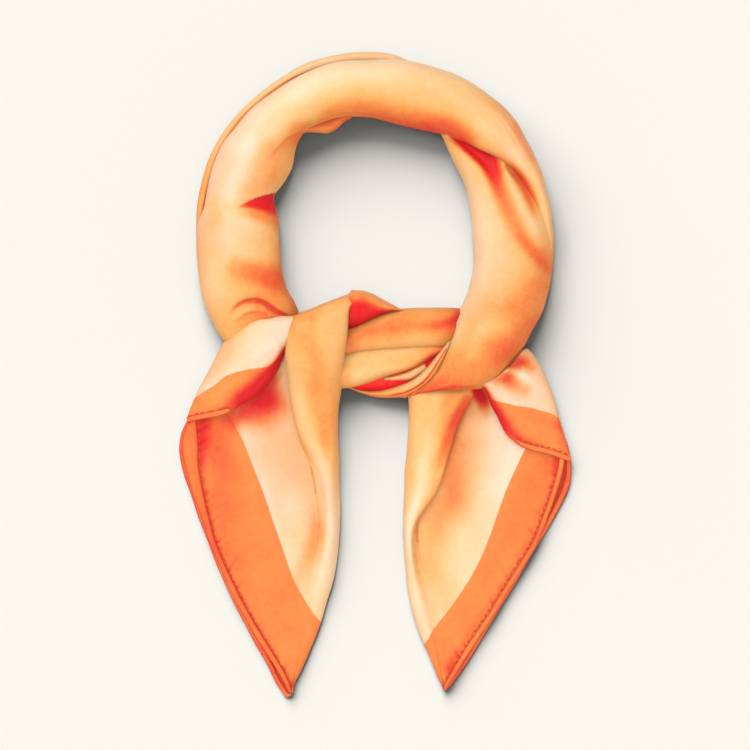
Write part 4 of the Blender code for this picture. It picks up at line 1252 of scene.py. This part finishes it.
def hem(name, rail, redness, seed, lies_on=None, thick=2.2):
    """A rolled hem: a low band between its two sides, which lies on the cloth's points or on the table and
    stands its thickness above them. It is redder in slow waves, and along its edges it is painted redder as
    painted shade where it meets the cloth."""
    tops = [0 * rail[f"{edge}_x"] if lies_on is None else topmost(rail[f"{edge}_x"], rail[f"{edge}_y"], lies_on)
            for edge in ("outer", "inner")]
    rail = rail | {"high": np.maximum(*tops) + thick, "outer_seat": 0.8 * tops[0], "inner_seat": 0.8 * tops[1]}
    count = HEM["steps"] * (len(rail["high"]) - 1)
    points, rows, across = band(rail, count, HEM["steps"], edges=(0.5, 0.5), tuck=0.4, lap=0.2)
    points = points - outward(points) * ripple(points, HEM["wave"], seed)[..., None]
    points[..., 2] = np.maximum(points[..., 2], 0)
    red = redness + 0.08 * np.sin(rows[:, None] * 0.8 + seed) + 0.45 * np.abs(2 * across - 1) ** 5
    return cloth(name, points, HEM["tone"], 0.0, red, border_satin, HEM["past_border"], HEM["wall"])[0]


def stitches(name, line, lies_on, lift=0.2):
    """A row of stitches along a line on a cloth's points: each is a thread's lozenge of nine points, and they
    lean a little to either side in turn."""
    read = rows_of(line, even_rows({"a_x": line["x"], "a_y": line["y"]}, 400, "a"))
    path = np.stack([read["x"], read["y"], topmost(read["x"], read["y"], lies_on) + lift], -1)
    run = run_along(path)
    middles = np.arange(STITCH["every"] / 2, run[-1], STITCH["every"])
    place = np.stack([np.interp(middles, run, path[:, i]) for i in range(3)], -1)
    ahead = np.stack([np.interp(middles + 0.5, run, path[:, i]) for i in range(3)], -1) - place
    heading = np.arctan2(ahead[:, 1], ahead[:, 0])
    heading += np.radians(STITCH["lean"]) * np.where(np.arange(len(middles)) % 2, 1, -1)
    long, wide, high = STITCH["long"] / 2, STITCH["wide"] / 2, STITCH["high"]
    shape = np.array([
        (-long, 0, 0), (-0.6 * long, wide, 0.3 * high), (0.6 * long, wide, 0.3 * high), (long, 0, 0),
        (0.6 * long, -wide, 0.3 * high), (-0.6 * long, -wide, 0.3 * high),
        (-0.5 * long, 0, high), (0.5 * long, 0, high), (0, 0, -0.5 * high),
    ])
    sides = np.array([
        (0, 5, 6), (0, 6, 1), (1, 6, 7), (1, 7, 2), (2, 7, 3), (3, 7, 4), (4, 7, 6), (4, 6, 5),
        (0, 1, 8), (1, 2, 8), (2, 3, 8), (3, 4, 8), (4, 5, 8), (5, 0, 8),
    ])
    cos, sin = np.cos(heading)[:, None], np.sin(heading)[:, None]
    turned = np.stack([shape[:, 0] * cos - shape[:, 1] * sin, shape[:, 0] * sin + shape[:, 1] * cos,
                       shape[:, 2] + 0 * cos], -1)
    faces = (sides[None] + len(shape) * np.arange(len(middles))[:, None, None]).reshape(-1, 3)
    mesh = bpy.data.meshes.new(name)
    mesh.from_pydata((place[:, None] + turned).reshape(-1, 3) * MM, [], faces.tolist())
    mesh.materials.append(thread)
    piece = shown(name, mesh)
    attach(piece, "root")
    return piece


thread = bpy.data.materials.new("sewing_thread")
strand = Nodes(thread)
fuzz = strand.node("TexNoise", {"Vector": strand.node("TexCoord", output="Object"), "Scale": 1500.0})
strand_colour = strand.stops(fuzz, (0.3, "#CC301E"), (0.7, "#DC4C30"))
# the thread's emission is painted light, which lifts it out of the shade of its groove
strand.finish({
    "Base Color": strand_colour, "Emission Color": strand_colour, "Emission Strength": 0.4, "Roughness": 0.7,
    "Normal": strand.node("Bump", {"Height": fuzz, "Strength": 0.3, "Distance": 0.0001}),
})

HEM_LEFT_FRONT = table(
    "outer_x outer_y inner_x inner_y",
    (-112, -28, -107.3, -27), (-115.6, -35.3, -106.6, -34), (-116.4, -44, -106, -43),
    (-114.5, -55, -105.8, -54), (-110, -71, -103.3, -70), (-104.5, -86, -100, -84), (-99.5, -101, -96, -99.5),
    (-92.5, -117.5, -89.2, -116), (-85.5, -133, -82.2, -131), (-77.5, -147.5, -74.4, -145.5),
    (-69.5, -161, -66.6, -158.8), (-62, -172.5, -59.2, -170.5), (-56.5, -181.5, -54, -179.5),
    (-53, -188.5, -51.2, -186.5), (-51, -191.5, -50.4, -190.5),
)
HEM_LEFT_BACK = table(
    "outer_x outer_y inner_x inner_y",
    (-112.6, -26.5, -110, -29), (-116.6, -35.5, -113.2, -37), (-117.7, -46, -114.2, -45.6),
    (-115, -59.5, -111.5, -58.5), (-110.5, -72.5, -107.2, -71.3), (-106, -86, -102.8, -84.8),
    (-100.5, -100.5, -97.3, -99.3), (-95, -115, -91.9, -113.6), (-88, -130.5, -85, -129),
    (-80.5, -145.5, -77.5, -143.8), (-73, -160, -70.2, -158.2), (-65.5, -173, -62.8, -171.2),
    (-60.5, -183.5, -58, -181.8), (-56.7, -189.5, -54.3, -187.8), (-53.7, -193.6, -52, -191),
    (-50.6, -192.6, -50.4, -190.8),
)
HEM_LEFT_FLAP = table(
    "outer_x outer_y inner_x inner_y",
    (-113.2, -25.4, -112.6, -28.8), (-109.5, -24.4, -108.6, -27.9), (-103.5, -23.2, -103, -26.7),
    (-96, -21.8, -95.2, -25.2), (-90.5, -20.6, -89, -23.2), (-87.5, -20.4, -87, -21.6),
)
FLAP_LEFT_SEAM = table("x y", (-112.5, -25.2), (-107.5, -23.7), (-101.5, -22.8), (-95.5, -21.6), (-90, -20.2))


def tail(hand, front, back, flap, hems, seams, stands_for):
    """Makes a tail's three layers, then the hem that each has, then the rows of stitches, each from its own
    settings. The front's and the flap's hems lie on their layers, and the back's on the table. Then it hides
    the
    CAD nodes that each layer stands for."""
    names = {part: f"satin_tail_{hand}_{part}" for part in ("front", "back", "flap")}
    layers_made = {
        "front": open_layer(names["front"], **front),
        "back": back_layer(names["back"], **back),
        "flap": folded(names["flap"], material=border_satin, **flap, **FLAP),
    }
    sewn = {}
    for part, name in names.items():
        on = None if part == "back" else surfaces[name]
        sewn[part] = [hem(f"satin_hem_{hand}_{part}", lies_on=on, **hems[part])]
        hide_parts(f"tail_{hand}_{part}_hem")
    for part, seam in seams.items():
        sewn[part].append(stitches(f"thread_{hand}_{part}", seam["line"], surfaces[names[part]], seam["lift"]))
    for part, (piece, flat) in layers_made.items():
        lay(stands_for[part], held="laid" if part == "back" else "folded",
            rests_on=names["front"] if part == "flap" else "tabletop")


tail(
    "left",
    front={
        "rail": TAIL_LEFT_FRONT, "size": (310, 46, 50), "fades": (10.4, 13.6), "tones": TAIL_LEFT_TONES,
        "folds": TAIL_LEFT_FOLDS, "seam": TAIL_LEFT_SEAM, "border": (TAIL_LEFT_BORDER, -1), "seeds": (21, 1),
    },
    back={"rail": TAIL_LEFT_BACK, "border": (TAIL_LEFT_BORDER, -1), "seed": 23},
    flap={
        "rail": FLAP_LEFT, "count": 135, "top": 66, "tones": FLAP_LEFT_TONES, "folds": FLAP_LEFT_FOLDS,
        "border": (FLAP_LEFT_BORDER, -1), "seed": 24,
    },
    hems={
        "front": {"rail": HEM_LEFT_FRONT, "redness": 0.12, "seed": 3},
        "back": {"rail": HEM_LEFT_BACK, "redness": 0.12, "seed": 5},
        "flap": {"rail": HEM_LEFT_FLAP, "redness": 0.05, "seed": 8, "thick": 0.8},
    },
    seams={"front": {"line": TAIL_LEFT_SEAM, "lift": 0.5}, "flap": {"line": FLAP_LEFT_SEAM, "lift": 0.2}},
    stands_for={
        "front": ["knot_wrap", "tail_left_roll", "tail_left_front"], "back": ["tail_left_back"],
        "flap": ["tail_left_flap"],
    },
)

# ---- The right tail: the opposite corner of the square. It comes out from under the loop's right stretch as a
# soft roll along its inner side, and lies open beside it, with the border, the hems and a flap as on the left.

TAIL_RIGHT_FRONT = table(
    "hem_x hem_y line_x line_y right_x right_y high left_seat right_seat panel",
    (65, -7, 63.5, -5.5, 17.5, -5.5, 12, 5, 0, 4),
    (68.5, -11, 61, -11, 19.5, -14, 16, 4, 0, 4),
    (82, -16.5, 56, -17.5, 20, -22, 15, 3.2, 0, 3.4),
    (98.5, -23.5, 52, -25, 19.5, -31, 13.5, 3, 0, 3),
    (109.5, -34.5, 49, -32, 19, -40, 12.5, 3, 0, 3),
    (113.5, -46.5, 46.5, -40, 18.5, -49, 12, 3, 0, 3.6),
    (112, -59, 43.5, -49, 17.5, -58, 11.5, 3, 0, 4.2),
    (108, -72.5, 40.5, -59, 17.5, -67.5, 11, 3, 0, 4.8),
    (103, -86.5, 36.5, -70, 17, -77.5, 10.5, 3, 0, 4.8),
    (97, -101.5, 31, -79, 16.5, -88.5, 10, 3.2, 0, 4.6),
    (88.5, -116, 26.5, -89, 16.5, -100, 9, 3.5, 0, 4.4),
    (79.5, -130.5, 26, -102.5, 17.5, -113, 8.3, 4, 0, 4.2),
    (71, -144.5, 29, -117.5, 19, -127, 6.6, 4.3, 0, 4),
    (62.5, -157, 33.5, -133.5, 22, -140.5, 5.6, 4.3, 0, 3.8),
    (55, -168.5, 37, -149.5, 26.5, -155.5, 4.8, 4, 0, 3.5),
    (49, -178, 39, -164, 32.5, -169.5, 4.2, 3.6, 0, 3.2),
    (44.5, -185, 40.5, -176.5, 37, -181, 3.7, 3.2, 0, 3),
    (41.5, -188.5, 41, -186.5, 40, -187.5, 3.2, 2.8, 0, 2.8),
)
TAIL_RIGHT_BORDER = table(
    "x y",
    (96.5, -33.5), (92.5, -39.5), (89, -46), (83.5, -57.5), (77, -72.5), (67.5, -99.5), (58.5, -119),
    (45.5, -139), (35.5, -151.5), (30.5, -160), (23, -169),
)
TAIL_RIGHT_SEAM = table(
    "x y",
    (109.8, -48), (109, -55), (104.2, -71.2), (99.4, -84.6), (93.4, -99.5), (85, -113.6), (76, -128),
    (67.6, -141.9), (59.2, -154.4), (51.9, -165.9), (46.2, -175.4), (42.3, -182.4),
)
TAIL_RIGHT_TONES = tenths(
    "row hem open_1 open_2 open_3 open_4 line roll over_1 over_2 over_3 over_4 right blush_outer blush_inner",
    (0, 2, 2, 2, 3, 5, 6, 5, 5, 5, 4, 4, 4, 8, 0),
    (2, 2, 2, 2, 3, 5, 6, 6, 5, 5, 3, 3, 3, 7, 0),
    (3, 2, 2, 0, 1, 4, 5, 6, 6, 4, 3, 3, 3, 7, 0),
    (4, 2, 2, 0, 1, 3, 5, 6, 6, 4, 2, 3, 3, 7, 0),
    (5, 2, 2, 0, 1, 4, 6, 6, 6, 3, 2, 3, 3, 7, 0),
    (6, 2, 2, 0, 1, 4, 6, 5, 5, 3, 1, 3, 3, 6, 0),
    (7, 2, 2, 0, 1, 5, 6, 4, 4, 2, 1, 3, 3, 5, 0),
    (8, 2, 2, 1, 2, 6, 5, 5, 4, 2, 0, 2, 3, 4, 1),
    (9, 2, 2, 1, 2, 5, 5, 5, 4, 2, 0, 1, 2, 3, 2),
    (10, 2, 2, 1, 1, 4, 4, 5, 4, 2, 0, 0, 2, 2, 3),
    (11, 2, 2, 1, 1, 3, 4, 5, 4, 3, 1, 1, 2, 1, 3),
    (12, 2, 2, 1, 2, 3, 4, 4, 4, 3, 1, 1, 2, 1, 2),
    (13, 2, 2, 1, 2, 2, 3, 3, 3, 2, 1, 1, 2, 2, 3),
    (17, 2, 2, 2, 2, 2, 2, 2, 2, 2, 2, 2, 2, 7, 9),
)
TAIL_RIGHT_FOLDS = table(
    "fold x y wide deep red",
    # the hollow where the tail leaves the knot, painted deep red as shade
    (1, 62, -9, 6, 1, 0.9), (1, 65, -15, 7, 1.2, 0.7), (1, 67, -22, 7, 0.6, 0.3),
    # the brown-orange hollow beside the roll
    (2, 58, -32, 7, 0.5, 0), (2, 55, -50, 10, 2, 0), (2, 49, -72, 11, 2.8, 0), (2, 42, -90, 10, 2.2, 0.02),
    (2, 35, -105, 9, 1.2, 0.02), (2, 37, -119, 8, 0.8, 0.06), (2, 40, -130, 6, 0.3, 0.05),
    # the folds that fan out over the roll
    (3, 55, -13, 4, 0.6, 0.1), (3, 50, -24, 5, 1, 0.12), (3, 43, -42, 5, 0.8, 0.06), (3, 37, -60, 5, 0.3, 0),
    (4, 32, -12, 5, 0.5, 0.03), (4, 31, -36, 5, 0.6, 0.03), (4, 27, -64, 4, 0.3, 0),
    # slow hollows and ridges down the open part
    (5, 74, -34, 8, -0.6, 0), (5, 68, -64, 9, -0.8, 0), (5, 56, -96, 9, -0.6, 0),
    # painted shade, red, in the border and along the hem
    (8, 104, -52, 12, 0, 0.2), (8, 94, -80, 11, 0, 0.08), (8, 74, -118, 10, 0, 0),
    (9, 108.5, -52, 4, 0.2, 0.4), (9, 104, -70, 2.5, 0.1, 0.15), (9, 83, -115, 2.5, 0.1, 0.15),
    (9, 58, -153, 3, 0.1, 0.15), (9, 44, -176, 5, 0.2, 0.3),
    (6, 92, -60, 8, 0.5, 0.04), (6, 80, -96, 9, 0.7, 0.08), (6, 64, -130, 8, 0.5, 0.06),
    (7, 52, -118, 8, 0.6, 0.04), (7, 42, -140, 7, 0.6, 0.06),
)
TAIL_RIGHT_BACK = table(
    "outer_x outer_y inner_x inner_y",
    (74.5, -10.5, 61.5, -14), (94, -17, 55.5, -21.5), (108.5, -29.5, 51.5, -31), (115.5, -43, 47.5, -41.5),
    (117.5, -56, 44, -52.5), (116, -67, 40.5, -63.5), (110, -80.5, 34.5, -75.5), (102.5, -94, 29, -87.5),
    (94, -107.5, 27.5, -99.5), (85, -123.5, 28, -112.5), (75.5, -139, 30.5, -127), (66.5, -154, 34, -142),
    (57.5, -169, 37, -157.5), (50.5, -179, 39.5, -170.5), (44.5, -187, 40.5, -181.5), (41.5, -190, 41, -188),
)
FLAP_RIGHT = table(
    "outer_x outer_y inner_x inner_y high outer_seat inner_seat",
    (70, -2, 62.5, -7, 17, 10, 10),
    (76.5, 2.5, 65, -9, 18, 9, 10),
    (82.5, 8.5, 67.5, -13.5, 18, 6, 9),
    (87.5, 14.5, 69.5, -19, 17, 3, 8),
    (91.5, 15.5, 72.5, -24.5, 15, 0.6, 7),
    (96, 10, 75, -30, 13, 0.3, 6.2),
    (100, 2.5, 77.5, -35, 11, 0.3, 5.6),
    (104, -7, 81.5, -39.5, 9.5, 0.3, 5),
    (107.5, -16.5, 87.5, -43.5, 8.2, 0.3, 4.6),
    (110, -25.5, 94.5, -45.5, 7.2, 0.3, 4.4),
    (113, -34.5, 103, -47.5, 6.4, 0.3, 4.2),
    (115, -42.5, 110.5, -50, 5.8, 0.3, 4),
    (117, -49.5, 116, -52, 5.2, 0.3, 3.8),
)
FLAP_RIGHT_BORDER = table(
    "x y",
    (56, -9), (62.5, -12), (66.5, -13.5), (71.5, -15.5), (77.5, -17), (83.5, -18.5), (91, -19.5), (98.5, -21.5),
    (104.5, -23), (110, -26), (115.5, -30.5),
)
FLAP_RIGHT_TONES = tenths(
    "row outer second third fourth fifth inner blush_outer blush_inner",
    (0, 3, 2, 1, 1, 2, 4, 8, 8),
    (3, 3, 2, 1, 1, 1, 3, 8, 8),
    (5, 3, 2, 1, 1, 1, 2, 8, 8),
    (7, 3, 2, 2, 1, 1, 2, 8, 8),
    (12, 3, 2, 2, 2, 2, 2, 10, 10),
)
FLAP_RIGHT_FOLDS = table(
    "fold x y wide deep red",
    # the two shadowed hollows beside the loop, and the ridge between them
    (1, 82, 4, 8, 1.4, 0.62), (1, 88, 7.5, 8.5, 1.8, 0.66), (1, 93, 4, 6, 0.6, 0.35),
    (2, 73, -3, 7, 1, 0.5), (2, 79, -3.5, 9, 1.8, 0.68), (2, 88, -9, 9, 0.8, 0.4),
    (3, 77, 3, 3, -0.8, -0.25), (3, 86, 0, 4, -1, -0.3), (3, 96, -7, 4, -0.4, -0.05),
    # painted shade, deep red, along its fold
    (4, 64, -10, 5, 1, 0.9), (4, 70, -20, 7, 0.6, 0.75), (4, 77, -31, 8, 0.5, 0.7), (4, 86, -39, 6, 0.3, 0.4),
    (4, 100, -44, 4, 0.2, 0.2),
    # soft ridges across the border
    (5, 78, -20, 5, -0.5, -0.06), (5, 92, -30, 6, -0.5, -0.06), (5, 106, -38, 5, -0.3, 0),
    (6, 92, -22, 5, 0.4, 0.04), (6, 108, -30, 5, 0.4, 0.14),
    (7, 112, -30, 7, 0, 0.25), (7, 115, -44, 8, 0, 0.22),
)
HEM_RIGHT_FRONT = table(
    "outer_x outer_y inner_x inner_y",
    (113.2, -46.5, 110.2, -46), (113, -53, 109.8, -52.5), (112, -59, 108.8, -58), (108, -72.5, 105, -71.3),
    (103, -86.5, 100.2, -85), (97, -101.5, 94.2, -99.9), (88.5, -116, 85.8, -114.1),
    (79.5, -130.5, 76.8, -128.5), (71, -144.5, 68.4, -142.4), (62.5, -157, 60, -154.9),
    (55, -168.5, 52.6, -166.4), (49, -178, 46.9, -175.9), (44.5, -185, 42.7, -183), (41.5, -188.5, 40.8, -187),
)
HEM_RIGHT_BACK = table(
    "outer_x outer_y inner_x inner_y",
    (111.5, -33, 109, -35), (115.5, -43, 112.3, -43.8), (117.5, -56, 114.2, -55.8), (116, -67, 112.7, -66),
    (110, -80.5, 106.9, -79), (102.5, -94, 99.5, -92.3), (94, -107.5, 91.1, -105.7), (85, -123.5, 82.2, -121.6),
    (75.5, -139, 72.7, -137.1), (66.5, -154, 63.8, -152), (57.5, -169, 55, -167), (50.5, -179, 48.2, -177.2),
    (44.5, -187, 42.6, -185.3), (41.5, -190, 40.7, -188.8),
)
HEM_RIGHT_FLAP = table(
    "outer_x outer_y inner_x inner_y",
    (117.2, -49.3, 116.2, -52.2), (111.5, -46.9, 110.5, -50.2), (103.7, -44.4, 103, -47.7),
    (95.2, -42.4, 94.4, -45.7), (88.8, -40.4, 87.3, -43), (85, -38.6, 84, -39.8),
)
BACK_RIGHT_SEAM = table("x y", (113.9, -55.8), (112.4, -65.9), (106.5, -78.8), (99.1, -92.1), (90.7, -105.5))
FLAP_RIGHT_SEAM = table(
    "x y",
    (85, -37.4), (89, -39.9), (95.3, -41.8), (103.8, -43.8), (111.5, -46.3), (115, -47.8),
)
tail(
    "right",
    front={
        "rail": TAIL_RIGHT_FRONT, "size": (268, 44, 46), "fades": (8.6, 11.0), "tones": TAIL_RIGHT_TONES,
        "folds": TAIL_RIGHT_FOLDS, "seam": TAIL_RIGHT_SEAM, "border": (TAIL_RIGHT_BORDER, 1), "seeds": (31, 2),
    },
    back={"rail": TAIL_RIGHT_BACK, "border": (TAIL_RIGHT_BORDER, 1), "seed": 33},
    flap={
        "rail": FLAP_RIGHT, "count": 120, "top": 66, "tones": FLAP_RIGHT_TONES, "folds": FLAP_RIGHT_FOLDS,
        "border": (FLAP_RIGHT_BORDER, -1), "seed": 34,
    },
    hems={
        "front": {"rail": HEM_RIGHT_FRONT, "redness": 0.04, "seed": 4},
        "back": {"rail": HEM_RIGHT_BACK, "redness": 0.12, "seed": 6},
        "flap": {"rail": HEM_RIGHT_FLAP, "redness": 0.05, "seed": 9, "thick": 0.8},
    },
    seams={
        "front": {"line": TAIL_RIGHT_SEAM, "lift": 0.5}, "back": {"line": BACK_RIGHT_SEAM, "lift": 1.0},
        "flap": {"line": FLAP_RIGHT_SEAM, "lift": 0.2},
    },
    stands_for={
        "front": ["tail_right_roll", "tail_right_front"], "back": ["tail_right_back"],
        "flap": ["tail_right_flap"],
    },
)

low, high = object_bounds()
